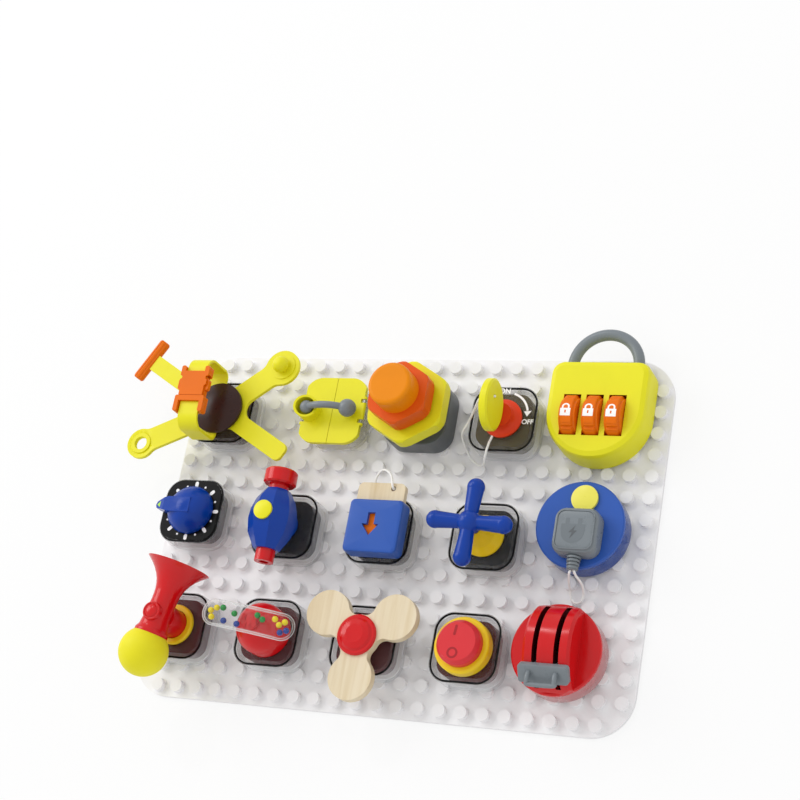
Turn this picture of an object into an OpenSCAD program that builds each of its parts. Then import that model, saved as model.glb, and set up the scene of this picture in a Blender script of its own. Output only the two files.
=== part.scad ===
// Studded activity board for small children. A white plate carries a grid of round
// studs, and fifteen activity modules clip onto the studs.
// Units: millimetres. +X right, +Y up the board, +Z out of the board.
// Origin: centre of the plate's underside.
// Inside a module Z counts from the top face of the plate.

/* [Board] */
// Distance between neighbouring studs
stud_pitch = 16; // [16:0.1:17]
// Number of stud columns
stud_cols = 24; // [24:1:26]
// Number of stud rows
stud_rows = 17; // [17:1:19]
// Radius of a stud
stud_r = 4.7; // [4:0.1:5.2]
// Height of a stud above the plate
stud_h = 4.5; // [3.5:0.1:5]
// Thickness of the plate
plate_t = 3; // [2:0.5:6]
// Corner radius of the plate
corner_r = 30; // [20:1:32]

/* [Module boxes] */
// Width of a clear module box
box_w = 50; // [48:0.5:52]
// Corner radius of a module box
box_r = 14; // [8:1:16]
// Height of a module's top face above the plate
box_top = 23.5; // [21:0.5:26]
// Wall of a module box
box_wall = 2; // [1.5:0.1:2.5]
// Thickness of a module's lid
lid_t = 2; // [1.5:0.1:3]
// Width of the foot that grips the studs
foot_w = 38; // [32:1:42]
// Corner radius of the foot
foot_r = 7; // [3:0.5:10]
// Thickness of the floor inside a box
floor_t = 2; // [1.5:0.5:3]
// Width of the mechanism housing inside a box
core_w = 40; // [34:1:43]
// Width of the dark seam ring on a box
rim_w = 1.3; // [0.8:0.1:1.6]
// Depth of the dark seam ring
rim_t = 0.9; // [0.5:0.1:1.2]
// Radius of the shafts that carry the turning parts
shaft_r = 4; // [3:0.1:4.5]

/* [Clearances] */
// Gap between a stud and its socket
socket_gap = 0.1; // [0.05:0.05:0.2]
// Gap round a turning shaft or a sliding stem
run_gap = 0.05; // [0.02:0.01:0.1]
// Gap between faces that move past each other
face_gap = 0.3; // [0.2:0.05:0.5]

/* [Places, in half stud pitches from the centre] */
// Strap module
straps_at = [-19, 10]; // [-24:0.5:24]
// Hook latch module
latch_at = [-7.5, 10.5]; // [-24:0.5:24]
// Nut and bolt module
bolt_at = [1, 10.5]; // [-24:0.5:24]
// Key switch module
key_at = [9.5, 10]; // [-24:0.5:24]
// Padlock module
padlock_at = [18, 11]; // [-24:0.5:24]
// Dial module
dial_at = [-20, 0]; // [-24:0.5:24]
// Tap module
tap_at = [-10, -1]; // [-24:0.5:24]
// Card slot module
card_at = [-0.5, -1]; // [-24:0.5:24]
// Cross handle module
cross_at = [9.5, -1]; // [-24:0.5:24]
// Charger module
charger_at = [18, 0.5]; // [-24:0.5:24]
// Horn module
horn_at = [-19, -11]; // [-24:0.5:24]
// Rattle module
rattle_at = [-9.5, -11]; // [-24:0.5:24]
// Spinner module
spinner_at = [0, -11]; // [-24:0.5:24]
// Push button module
button_at = [9.5, -11]; // [-24:0.5:24]
// Throttle module
throttle_at = [17.5, -10.5]; // [-24:0.5:24]

/* [Straps and buckle] */
// Thickness of a flat strap
strap_t = 3; // [2:0.5:4]
// Height of the strap star above the box
star_lift = 2.5; // [2:0.5:4]
// Radius of the dark badge
badge_r = 20; // [17:0.5:22]
// Height of the badge's rim
badge_rim = 2.5; // [2:0.5:4]
// Height of the badge's dome above its rim
badge_dome = 5.5; // [4:0.5:7]
// Reach of the strap with the toggle bar
toggle_reach = 83; // [76:1:88]
// Width of the strap with the toggle bar
toggle_strap_w = 13; // [10:0.5:15]
// Length of the toggle bar
toggle_l = 36; // [30:1:40]
// Radius of the toggle bar
toggle_r = 3.8; // [3.2:0.1:4.5]
// Reach of the strap with the snap stud, to its round end
snap_reach = 57.8; // [52:0.5:62]
// Radius of that round end
snap_end_r = 14; // [12:0.5:15]
// Radius of the snap stud
snap_r = 6.5; // [5:0.5:7]
// Reach of the strap with the eyelet, to its round end
eyelet_reach = 69; // [62:1:72]
// Radius of that round end
eyelet_end_r = 12; // [10:0.5:13]
// Radius of the eyelet
eyelet_r = 5.2; // [4.5:0.1:5.5]
// Width of the two wide straps
wide_strap_w = 18; // [15:0.5:19]
// Reach of the plain strap
plain_reach = 70; // [62:1:74]
// Width of the plain strap
plain_strap_w = 14.5; // [12:0.5:16]
// Width of the wrist belt
belt_w = 16.5; // [14:0.5:17]
// Thickness of the wrist belt
belt_t = 2; // [1.5:0.1:2.5]
// Length of the belt loop along the board
belt_loop_l = 57.5; // [54:0.5:60]
// Height of the belt loop
belt_loop_h = 33; // [30:1:38]
// Distance of the belt's middle from the badge's axis
belt_x = -6.7; // [-8:0.1:-5]
// Width of the buckle
buckle_w = 26; // [24:0.5:28]
// Thickness of the buckle
buckle_t = 7; // [6:0.5:8]

/* [Hook latch] */
// Width of the pair of doors
doors_w = 52; // [50:0.5:54]
// Thickness of a door
door_t = 3.5; // [3:0.5:4]
// Outer radius of the ball cup
cup_r = 8.8; // [8.2:0.1:9.5]
// Height of the ball cup above the doors
cup_h = 12.5; // [10:0.5:14]
// Radius of the hook's ball end
hook_ball_r = 5; // [4:0.1:5.5]
// Radius of the hook's pivot ball
pivot_ball_r = 6; // [5.5:0.1:6.5]
// Distance from the pivot to the ball end
hook_span = 33.5; // [30:0.5:35]
// Radius of the hook's arm
hook_arm_r = 2.6; // [2:0.1:3]
// Rise of the hook's arm above its ends
hook_rise = 6; // [5:0.5:8]

/* [Nut and bolt] */
// Corner radius of the yellow nut
nut_r = 33; // [28:0.5:34]
// Height of the nut's underside above the plate
nut_low = 33; // [30:0.5:36]
// Thickness of the nut
nut_h = 11; // [8:0.5:13]
// Corner radius of the bolt's hexagon
bolt_hex_r = 25.2; // [20:0.1:27]
// Thickness of the bolt's hexagon
bolt_hex_h = 14; // [10:0.5:16]
// Radius of the bolt's round cap
bolt_cap_r = 16.4; // [12:0.1:18]
// Height of the round cap
bolt_cap_h = 16.5; // [10:0.5:18]
// Radius of the bolt's shank
bolt_shank_r = 8; // [6:0.5:9]

/* [Key switch] */
// Radius of the barrel's flange
key_flange_r = 14.5; // [13:0.5:16]
// Radius of the barrel's drum
key_drum_r = 8; // [7.5:0.1:9]
// Height of the barrel above the box
key_barrel_h = 8.5; // [7:0.5:9]
// Half length of the key's oval bow
bow_l = 18.8; // [16:0.1:21]
// Half height of the key's oval bow
bow_h = 17.5; // [13:0.1:19]
// Thickness of the key's bow
bow_t = 6.3; // [5:0.1:7]
// Length of the key's blade
blade_l = 18; // [14:0.5:19]
// Width of the key's blade
blade_w = 9; // [7:0.5:10]
// Thickness of the key's blade
blade_t = 3; // [2.5:0.1:4]

/* [Padlock] */
// Width of the padlock body
lock_w = 73; // [70:0.5:74]
// Length from the flat top to the middle of the round bottom
lock_top = 37; // [34:0.5:38]
// Thickness of the padlock body
lock_t = 23.3; // [22:0.1:25]
// Radius of the shackle's rod
shackle_r = 4.1; // [3.5:0.1:4.5]
// Distance between the shackle's legs
shackle_span = 48.5; // [46:0.5:50]
// Depth of the shackle's short leg in the body
short_leg = 9; // [7:0.5:10]
// Depth of the shackle's long leg in the body
long_leg = 22; // [20:0.5:26]
// Corner radius of a code wheel
wheel_r = 16.3; // [15:0.1:16.4]
// Width of a code wheel
wheel_w = 12; // [10:0.1:12.5]
// Distance between code wheels
wheel_pitch = 16.5; // [16:0.1:17.5]
// Height of the code wheels' axle above the plate
wheel_axle_z = 21.5; // [21.5:0.1:22]
// Radius of the code wheels' axle
wheel_axle_r = 2; // [1.5:0.1:2.5]

/* [Dial] */
// Radius of the dial knob
dial_r = 18.5; // [16:0.5:20]
// Height of the dial knob
dial_h = 15; // [13:0.5:17]
// Width of the grip bar across the knob
grip_w = 11.5; // [9:0.5:13]
// Reach of the pointer from the knob's axis
pointer_reach = 25.5; // [23:0.5:27]

/* [Tap] */
// Height of the tap body's axis above the plate
tap_z = 43; // [42:0.5:45]
// Corner radius of the tap body in its middle
tap_mid_r = 17.5; // [16:0.5:18]
// Corner radius of the tap body at its ends
tap_end_r = 9.5; // [9:0.5:11]
// Reach of the body towards the knob
tap_front = 20; // [18:0.5:22]
// Reach of the body towards the outlet
tap_back = 25; // [22:0.5:28]
// Radius of the tap knob
tap_knob_r = 12; // [10:0.5:13]
// Width of the tap knob
tap_knob_w = 11; // [9:0.5:13]
// Radius of the tap outlet
outlet_r = 7; // [6:0.5:8]
// Length of the tap outlet beyond the body
outlet_l = 9; // [6:0.5:12]
// Radius of the button on the tap
tap_button_r = 7; // [6:0.5:7.5]
// Travel of the button on the tap
tap_button_travel = 2; // [1:0.5:2.5]

/* [Card slot] */
// Width of the card holder
holder_w = 42; // [41:0.5:44]
// Length of the card holder
holder_l = 40; // [36:1:44]
// Height of the card holder
holder_h = 12.5; // [11.5:0.5:14]
// Width of the wooden card
card_w = 36.5; // [34:0.5:38]
// Thickness of the wooden card
card_t = 5; // [4:0.5:5.5]
// Height of the wooden card's end above the holder
card_out = 13.5; // [10:0.5:20]
// Radius of the string hole in the card
card_hole_r = 2; // [1.6:0.1:2.4]

/* [Cross handle] */
// Radius of the yellow cone's base
cone_base_r = 15; // [13:0.5:17]
// Height of the yellow cone
cone_h = 22.5; // [18:0.5:25]
// Radius of the handle's hub
hub_r = 8.3; // [7.5:0.1:9]
// Reach of an arm from the hub's axis
arm_reach = 31.5; // [28:0.5:33]
// Radius of an arm near the hub
arm_r = 4.5; // [4:0.1:5.5]
// Radius of an arm's round tip
arm_tip_r = 6.3; // [5.5:0.1:7]

/* [Charger] */
// Radius of the two drum modules
drum_r = 31.5; // [30:0.5:33]
// Thickness of a drum's coloured top disc
disc_t = 3.5; // [2.5:0.5:5]
// Wall of the clear drum under the disc
drum_wall = 2.5; // [2:0.1:3]
// Radius of the charger's button
charge_button_r = 9.5; // [8:0.1:11]
// Travel of the charger's button
charge_button_travel = 2; // [1:0.5:2.5]
// Width of the plug
plug_w = 32; // [28:0.5:34]
// Length of the plug
plug_l = 33; // [28:0.5:34]
// Thickness of the plug
plug_t = 13; // [10:0.5:15]
// Radius of a plug pin
pin_r = 2.4; // [2:0.1:3]
// Length of a plug pin
pin_l = 13; // [10:0.5:15]

/* [Horn] */
// Radius of the horn's yellow ring
ring_r = 15; // [13:0.5:16]
// Height of the horn's axis above the plate
horn_z = 49; // [48:0.5:52]
// Radius of the horn's bell mouth
bell_r = 23.5; // [20:0.5:24]
// Distance of the bell mouth from the swivel axis
bell_reach = 38; // [34:0.5:40]
// Radius of the rubber ball
ball_r = 18; // [16:0.5:19]
// Distance of the ball's centre from the swivel axis
ball_reach = 28; // [27:0.5:31]
// Wall of the bell
bell_wall = 2; // [1.5:0.1:3]

/* [Rattle] */
// Radius of the red dome
dome_r = 18.5; // [16:0.5:20]
// Length of the clear capsule
capsule_l = 75; // [72:1:82]
// Width of the clear capsule
capsule_w = 19.5; // [18:0.5:24]
// Thickness of the clear capsule
capsule_t = 12; // [10:0.5:14]
// Wall of the clear capsule
capsule_wall = 1.5; // [1:0.1:2]
// Radius of a bead
bead_r = 2.2; // [1.8:0.1:2.5]

/* [Spinner] */
// Radius of a wooden lobe
lobe_r = 16.3; // [14:0.1:17]
// Distance of a lobe from the axis
lobe_reach = 29.4; // [27:0.1:31]
// Thickness of the wooden spinner
wood_t = 6.5; // [5:0.5:8]
// Radius of the red cap
cap_r = 14.5; // [12:0.5:16]
// Height of the red cap
cap_h = 5.5; // [4:0.5:7]

/* [Push button] */
// Outer radius of the yellow ring
button_ring_r = 20; // [19.5:0.1:22]
// Height of the yellow ring
button_ring_h = 8.5; // [7.5:0.5:10]
// Radius of the red button
button_r = 15.8; // [15:0.1:17.5]
// Height of the button's face above the box
button_h = 17; // [16:0.5:19]
// Travel of the red button
button_travel = 4; // [2:0.5:4.5]

/* [Throttle] */
// Width of the raised arch
arch_w = 33; // [31:0.5:35]
// Radius of the raised arch
arch_r = 32; // [31:0.5:33]
// Height of the arch's axis above the plate
arch_z = 12; // [11.5:0.5:13]
// Distance of the handle slots from the arch's middle
slot_x = 7.5; // [7:0.1:9]
// Thickness of a handle arm
handle_arm_t = 3; // [2.5:0.1:4]
// Width of the grey handle
handle_w = 35; // [32:0.5:36]
// Height of the grey handle
handle_h = 13; // [11:0.5:14]

/* [Hidden] */
$fn = 64;
over = 1;

// Sizes that follow from the driving ones
board_w = stud_cols * stud_pitch;
board_l = stud_rows * stud_pitch;
box_low = stud_h + 0.2;
box_in = box_w - 2 * box_wall;
floor_top = box_low + floor_t;
core_top = box_top - lid_t - face_gap;
bore_low = floor_top + 1.5;
shaft_low = bore_low + face_gap;
lift = box_top + face_gap;

// ---------------------------------------------------------------- helpers

function spot(p) = [p[0] * stud_pitch / 2, p[1] * stud_pitch / 2, plate_t];
function stud_x(i) = (i - (stud_cols - 1) / 2) * stud_pitch;
function stud_y(j) = (j - (stud_rows - 1) / 2) * stud_pitch;
function is_corner(i, j) = (i == 0 || i == stud_cols - 1) && (j == 0 || j == stud_rows - 1);
function arc(cx, cy, r, from, to, n = 8) =
    [for (i = [0:n]) let (a = from + (to - from) * i / n) [cx + r * cos(a), cy + r * sin(a)]];
function unit(v) = v / norm(v);

module place(p) { translate(spot(p)) children(); }

module rod(r, low, high) { translate([0, 0, low]) cylinder(r = r, h = high - low); }

// A rod along Y between two places
module rod_y(r, low, high) { translate([0, low, 0]) rotate([-90, 0, 0]) cylinder(r = r, h = high - low); }

// A rod along X between two places
module rod_x(r, low, high) { translate([low, 0, 0]) rotate([0, 90, 0]) cylinder(r = r, h = high - low); }

module rounded(w, l, r) {
    square([w - 2 * r, l], center = true);
    square([w, l - 2 * r], center = true);
    for (x = [-1, 1], y = [-1, 1])
        translate([x * (w / 2 - r), y * (l / 2 - r)]) circle(r);
}

module slab(w, l, r, low, high) {
    translate([0, 0, low]) linear_extrude(high - low) rounded(w, l, r);
}

module block(x0, x1, y0, y1, z0, z1) {
    translate([x0, y0, z0]) cube([x1 - x0, y1 - y0, z1 - z0]);
}

// A slab whose upper edge is rounded in two steps
module soft_slab(w, l, r, low, high, edge) {
    hull() {
        slab(w, l, r, low, high - edge, $fn = 32);
        slab(w - 0.6 * edge, l - 0.6 * edge, r - 0.3 * edge, low, high - 0.3 * edge, $fn = 32);
        slab(w - 2 * edge, l - 2 * edge, r - edge, low, high, $fn = 32);
    }
}

// A dome of base radius r and height h, standing on Z = 0
module dome(r, h) {
    ball = (r * r + h * h) / (2 * h);
    intersection() {
        translate([0, 0, h - ball]) sphere(ball);
        cylinder(r = r, h = h + over);
    }
}

// A round tube swept along a list of points
function tangent(p, i) = unit(p[min(i + 1, len(p) - 1)] - p[max(i - 1, 0)]);
function normals(p, n, i = 0) =
    i >= len(p) ? [] :
    let (t = tangent(p, i), m = unit(n - (n * t) * t)) concat([m], normals(p, m, i + 1));

module cord(p, r, start, sides = 8) {
    n = normals(p, start);
    rings = [for (i = [0:len(p) - 1], k = [0:sides - 1])
        let (b = cross(tangent(p, i), n[i]), a = 360 * k / sides) p[i] + r * (cos(a) * n[i] + sin(a) * b)];
    walls = [for (i = [0:len(p) - 2], k = [0:sides - 1])
        let (a = i * sides + k, b = i * sides + (k + 1) % sides) [a, a + sides, b + sides, b]];
    ends = [[for (k = [0:sides - 1]) k], [for (k = [sides - 1:-1:0]) (len(p) - 1) * sides + k]];
    polyhedron(rings, concat(walls, ends), convexity = 6);
}

// ---------------------------------------------------------------- board

module base_plate() {
    color("white") {
        slab(board_w, board_l, corner_r, 0, plate_t);
        for (i = [0:stud_cols - 1], j = [0:stud_rows - 1])
            if (!is_corner(i, j))
                translate([stud_x(i), stud_y(j), 0]) rod(stud_r, plate_t / 2, plate_t + stud_h);
    }
}

// The sockets that a foot at place p has for the studs under it
module sockets(p) {
    reach = foot_w / 2 + stud_r;
    for (i = [0:stud_cols - 1], j = [0:stud_rows - 1]) {
        dx = stud_x(i) - spot(p)[0];
        dy = stud_y(j) - spot(p)[1];
        if (max(abs(dx), abs(dy)) < reach)
            translate([dx, dy, 0]) rod(stud_r + socket_gap, -over, box_low);
    }
}

FLOORED = [straps_at, bolt_at, key_at, dial_at, tap_at, card_at, cross_at,
    horn_at, rattle_at, spinner_at, button_at];
FLAT = [latch_at, padlock_at, charger_at, throttle_at];

module module_feet() {
    floor_w = box_in - 2 * socket_gap;
    color("gainsboro") {
        for (p = FLOORED) place(p) {
            difference() {
                slab(foot_w, foot_w, foot_r, 0, box_low);
                sockets(p);
            }
            slab(floor_w, floor_w, box_r - box_wall, box_low, floor_top);
        }
        for (p = FLAT) place(p) difference() {
            slab(foot_w, foot_w, foot_r, 0, box_low);
            sockets(p);
        }
    }
}

// Each clear box with the radius of what turns in its lid
BOXES = [[straps_at, shaft_r], [key_at, key_drum_r], [dial_at, shaft_r], [tap_at, shaft_r],
    [card_at, shaft_r], [cross_at, shaft_r], [horn_at, shaft_r], [rattle_at, shaft_r],
    [spinner_at, shaft_r], [button_at, shaft_r]];

module seam_ring(low, high) {
    outer = box_w - 2 * box_wall / 3;
    inner = outer - 2 * rim_w;
    difference() {
        slab(outer, outer, box_r - box_wall / 3, low, high);
        slab(inner, inner, box_r - box_wall / 3 - rim_w, low - over, high + over);
    }
}

module box_shell(hole_r) {
    difference() {
        slab(box_w, box_w, box_r, box_low, box_top);
        slab(box_in, box_in, box_r - box_wall, box_low - over, box_top - lid_t);
        rod(hole_r + run_gap, box_low, box_top + over);
        seam_ring(box_top - rim_t, box_top + over);
    }
}

// Clear wall of a drum module, under its coloured disc
module drum_shell() {
    difference() {
        rod(drum_r, box_low, box_top - disc_t);
        rod(drum_r - drum_wall, box_low - over, box_top);
    }
}

// Coloured body of a drum module: a disc and the core inside the clear wall
module drum_body() {
    core_r = drum_r - drum_wall - socket_gap;
    rotate_extrude() polygon([[0, box_low], [core_r, box_low], [core_r, box_top - disc_t],
        [drum_r, box_top - disc_t], [drum_r, box_top - 1], [drum_r - 1, box_top], [0, box_top]]);
}

module clear_shells() {
    color("darkgray", 0.5) {
        for (b = BOXES) place(b[0]) box_shell(b[1]);
        for (p = [charger_at, throttle_at]) place(p) drum_shell();
    }
}

module shell_rims() {
    color("dimgray") for (b = BOXES) place(b[0]) seam_ring(box_top - rim_t, box_top);
}

module inner_housing(bore_r) {
    difference() {
        slab(core_w, core_w, box_r - box_wall - 2, floor_top, core_top);
        rod(bore_r + run_gap, bore_low, core_top + over);
    }
}

module inner_housings() {
    color("maroon") {
        for (b = BOXES) place(b[0]) inner_housing(b[1]);
        place(bolt_at) inner_housing(bolt_shank_r);
    }
}

// ---------------------------------------------------------------- straps

star_low = box_top + star_lift;
star_top = star_low + strap_t;
belt_low = star_top;
badge_low = belt_low + belt_t;
buckle_y = 4.5;
buckle_z = belt_low + belt_loop_h - belt_t / 2;
toggle_turn = 150.3;
snap_turn = 38;
eyelet_turn = 205;
plain_turn = -29.4;

// Four straps with their ends, seen from above; their inner corners are filleted
module star_plan() {
    circle(16);
    rotate(toggle_turn) translate([0, -toggle_strap_w / 2]) square([toggle_reach, toggle_strap_w]);
    rotate(snap_turn) {
        translate([0, -wide_strap_w / 2]) square([snap_reach, wide_strap_w]);
        translate([snap_reach, 0]) circle(snap_end_r);
    }
    rotate(eyelet_turn) {
        translate([0, -wide_strap_w / 2]) square([eyelet_reach, wide_strap_w]);
        translate([eyelet_reach, 0]) circle(eyelet_end_r);
    }
    rotate(plain_turn) translate([plain_reach / 2, 0]) rounded(plain_reach, plain_strap_w, 5);
}

module strap_star() {
    snap_x = snap_reach + 1;
    color("yellow") place(straps_at) difference() {
        union() {
            rod(12, box_top, star_low);
            translate([0, 0, star_low]) linear_extrude(strap_t) offset(r = -9) offset(delta = 9) star_plan();
            rotate(snap_turn) translate([snap_x, 0, 0]) {
                rod(snap_end_r * 0.72, star_top, star_top + 0.8);
                rod(snap_r * 0.75, star_top, star_top + 4);
                translate([0, 0, star_top + 4]) rotate_extrude() polygon(concat([[0, 0]],
                    arc(0, 0, snap_r, 0, 75, 6), [[0, snap_r * 0.98]]));
            }
            rotate(eyelet_turn) translate([eyelet_reach, 0, 0]) rod(eyelet_r + 3, star_top, star_top + 0.8);
        }
        rod(shaft_r + run_gap, box_low, badge_low);
        rotate(eyelet_turn) translate([eyelet_reach, 0, 0]) rod(eyelet_r, star_low - over, star_top + 2);
    }
}

module toggle_bar() {
    middle = star_low + strap_t / 2;
    color("darkorange") place(straps_at) rotate(toggle_turn)
        translate([toggle_reach, 0, middle]) difference() {
            soft_bar(toggle_r, toggle_l);
            block(-toggle_r - over, socket_gap, -toggle_strap_w / 2 - socket_gap,
                toggle_strap_w / 2 + socket_gap, -strap_t / 2, strap_t / 2);
        }
}

// A bar along Y with softly rounded ends
module soft_bar(r, l) {
    edge = r / 3;
    rotate([90, 0, 0]) rotate_extrude() polygon(concat([[0, -l / 2]],
        arc(r - edge, -l / 2 + edge, edge, -90, 0, 4),
        arc(r - edge, l / 2 - edge, edge, 0, 90, 4), [[0, l / 2]]));
}

// Outline of the wrist belt's loop, along Y and Z, with its upper and lower corner radii
belt_high_bend = 11;
belt_low_bend = 6.5;
function loop_outline(inset) =
    let (y = belt_loop_l / 2, h = belt_loop_h, r = belt_high_bend, q = belt_low_bend)
    concat(arc(y - r, h - r, r - inset, 0, 90), arc(-y + r, h - r, r - inset, 90, 180),
        arc(-y + q, q, q - inset, 180, 270), arc(y - q, q, q - inset, 270, 360));

module belt_ring() {
    translate([belt_x - belt_w / 2, belt_y, belt_low]) rotate([90, 0, 90]) linear_extrude(belt_w)
        difference() {
            polygon(loop_outline(0));
            polygon(loop_outline(belt_t));
        }
}

belt_y = 1.75;
belt_split = -6;
socket_end = 16.5;
socket_body = 12.3;
tongue_end = -20;
tongue_bar = -11.4;

module belt_upper() {
    color("gold") place(straps_at) difference() {
        belt_ring();
        block(-belt_loop_l, belt_loop_l, -belt_loop_l, belt_split, belt_low - over,
            belt_low + belt_loop_h + over);
        block(-belt_loop_l, belt_loop_l, -belt_loop_l, buckle_y + socket_body - 1.8, belt_low + belt_t + over,
            belt_low + belt_loop_h + over);
        rod(shaft_r + run_gap, belt_low - over, badge_low + over);
    }
}

module belt_lower() {
    color("gold") place(straps_at) difference() {
        belt_ring();
        block(-belt_loop_l, belt_loop_l, belt_split, belt_loop_l, belt_low - over, belt_low + belt_t + over);
        block(-belt_loop_l, belt_loop_l, buckle_y + tongue_bar - socket_gap, belt_loop_l, belt_low + belt_t,
            belt_low + belt_loop_h + over);
    }
}

module at_buckle() {
    place(straps_at) translate([belt_x, buckle_y, buckle_z]) children();
}

prong_w = 4;
leg_w = 3.4;
mouth = -7;
wall = 1.6;

// Female half: a sleeve open at its sides for the prongs, with two ears and a bar under the belt
module buckle_socket() {
    half = buckle_w / 2 - 3;
    ear_w = half - belt_w / 2 + 1.8;
    cavity = mouth + 16.5;
    color("darkorange") difference() {
        at_buckle() union() {
            block(-half, half, mouth, socket_body, -buckle_t / 2, buckle_t / 2);
            for (x = [-1, 1]) {
                translate([x * (half + 1.8 - ear_w / 2), (socket_body + socket_end) / 2 - 2, 0])
                    slab(ear_w, socket_end - socket_body + 4, 1.2, -buckle_t / 2, buckle_t / 2);
                translate([x * (half + 0.2), mouth + 10.5, 0]) slab(2.4, 5, 1.1, -buckle_t / 2, buckle_t / 2);
            }
            block(-half, half, socket_end - 2.6, socket_end - 0.3, -buckle_t / 2, -belt_t / 2);
        }
        at_buckle() block(-buckle_w, buckle_w, mouth - over, cavity,
            -buckle_t / 2 + wall, buckle_t / 2 - wall);
        place(straps_at) belt_ring();
    }
}

// Male half: a cross bar with two legs beside the belt, a middle guide and two prongs
module buckle_tongue() {
    inner = buckle_t / 2 - wall - face_gap / 2;
    prong_x = buckle_w / 2 - prong_w / 2;
    leg_x = belt_w / 2 + socket_gap + leg_w / 2 + 0.6;
    color("darkorange") at_buckle() {
        translate([0, (tongue_bar + mouth - face_gap) / 2, 0])
            slab(2 * leg_x + leg_w, mouth - face_gap - tongue_bar, 1.5, -buckle_t / 2, buckle_t / 2);
        for (x = [-1, 1]) {
            translate([x * leg_x, (tongue_end + tongue_bar) / 2 + 1, 0])
                slab(leg_w, tongue_bar - tongue_end + 2, 1.2, -buckle_t / 2, buckle_t / 2);
            translate([x * (prong_x - 2.5), 0, 0]) block(-2, 2, mouth - 3, mouth + 15, -inner, inner);
            translate([x * prong_x, mouth + 9, 0]) slab(prong_w, 9, 1.9, -inner, inner);
        }
        block(-leg_x, leg_x, tongue_end + 0.4, tongue_end + 2.6, -buckle_t / 2, -belt_t / 2 - socket_gap);
        block(-2.5, 2.5, mouth - 3, mouth + 14, -inner, inner);
    }
}

module strap_badge() {
    color("#3a2420") place(straps_at) {
        rod(badge_r, badge_low, badge_low + badge_rim);
        translate([0, 0, badge_low + badge_rim]) dome(badge_r, badge_dome);
        rod(shaft_r, shaft_low, badge_low + over);
    }
}

// ---------------------------------------------------------------- hook latch

latch_w = doors_w - 4;
latch_wall = 1;
latch_in = latch_w - 2 * latch_wall;
hinge_x = doors_w / 2 - door_t / 2;
hinge_z = box_top - door_t / 2;
ear_y = 8;
ear_t = 2.4;
knuckle_l = 11.5;
hinge_pin_r = 0.9;
hook_z = box_top + 7.5;
pivot_x = 15.6;
hook_y = -1;
doors_low = box_top - door_t;

module latch_box() {
    color("whitesmoke", 0.5) place(latch_at) difference() {
        union() {
            slab(latch_w, latch_w, box_r - 1, box_low, doors_low - 1);
            for (x = [-1, 1], y = [-1, 1]) translate([x * hinge_x, y * ear_y, 0]) {
                translate([0, 0, hinge_z]) rod_y(door_t / 2, -ear_t / 2, ear_t / 2);
                block(-door_t / 2, door_t / 2, -ear_t / 2, ear_t / 2, hinge_z - 7, hinge_z);
            }
        }
        slab(latch_in, latch_in, box_r - 1 - latch_wall, floor_top, doors_low);
        for (x = [-1, 1]) translate([x * hinge_x, 0, hinge_z]) rod_y(hinge_pin_r, -knuckle_l, knuckle_l);
    }
}

module latch_pins() {
    color("silver") place(latch_at) for (x = [-1, 1])
        translate([x * hinge_x, 0, hinge_z]) rod_y(hinge_pin_r, -knuckle_l, knuckle_l);
}

// One door, hinged on its outer edge; side is -1 for the left one
module latch_door(side) {
    seam = 0.2;
    difference() {
        union() {
            intersection() {
                slab(doors_w, doors_w, box_r, doors_low, box_top);
                block(min(side * seam, side * hinge_x), max(side * seam, side * hinge_x),
                    -doors_w / 2, doors_w / 2, doors_low, box_top);
            }
            translate([side * hinge_x, 0, hinge_z]) rod_y(door_t / 2, -knuckle_l, knuckle_l);
        }
        for (y = [-1, 1]) translate([side * hinge_x, y * ear_y, 0])
            block(-door_t / 2 - 2 * face_gap, door_t / 2 + 2 * face_gap,
                -ear_t / 2 - face_gap, ear_t / 2 + face_gap, doors_low - over, box_top + over);
        translate([side * hinge_x, 0, hinge_z])
            rod_y(hinge_pin_r + run_gap, -knuckle_l - over, knuckle_l + over);
    }
}

module latch_door_left() {
    cup_x = pivot_x - hook_span;
    color("yellow") place(latch_at) {
        latch_door(-1);
        translate([cup_x, hook_y, 0]) difference() {
            rod(cup_r, box_top, box_top + cup_h);
            rod(hook_ball_r + 2.1, hook_z - hook_ball_r - face_gap, box_top + cup_h + over);
            translate([0, 0, box_top + cup_h - 2.3]) rotate([0, 15, 0])
                block(-2 * cup_r, 2 * cup_r, -2 * cup_r, 2 * cup_r, 0, cup_h);
        }
    }
}

module latch_door_right() {
    color("yellow") place(latch_at) {
        latch_door(1);
        translate([pivot_x, hook_y, 0]) {
            block(-3, 3, -1.5, 1.5, box_top, hook_z);
            translate([0, 0, hook_z]) {
                rod_y(3, -1.5, 1.5);
                rod_y(1.4, -pivot_ball_r + 1, pivot_ball_r - 1);
            }
        }
    }
}

module latch_hook() {
    half = hook_span / 2;
    bend = (half * half + hook_rise * hook_rise) / (2 * hook_rise);
    sweep = asin(half / bend);
    color("slategray") place(latch_at) translate([pivot_x, hook_y, hook_z]) difference() {
        union() {
            rotate([90, 0, 0]) rotate(90) sphere(pivot_ball_r);
            translate([-hook_span, 0, 0]) rotate([90, 0, 0]) rotate(180) sphere(hook_ball_r);
            translate([-half, 0, hook_rise - bend]) rotate([90, 0, 0]) rotate(90 - sweep)
                rotate_extrude(angle = 2 * sweep) translate([bend, 0]) circle(hook_arm_r);
        }
        rod_y(3 + face_gap, -1.5 - face_gap, 1.5 + face_gap);
        block(-3 - face_gap, pivot_ball_r + over, -1.5 - face_gap, 1.5 + face_gap, -pivot_ball_r - over, 0);
        block(0, pivot_ball_r + over, -1.5 - face_gap, 1.5 + face_gap, -over, 3 + face_gap);
        rod_y(1.4 + run_gap, -pivot_ball_r, pivot_ball_r);
    }
}

// ---------------------------------------------------------------- nut and bolt

bolt_low = nut_low + nut_h + 3;

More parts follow.
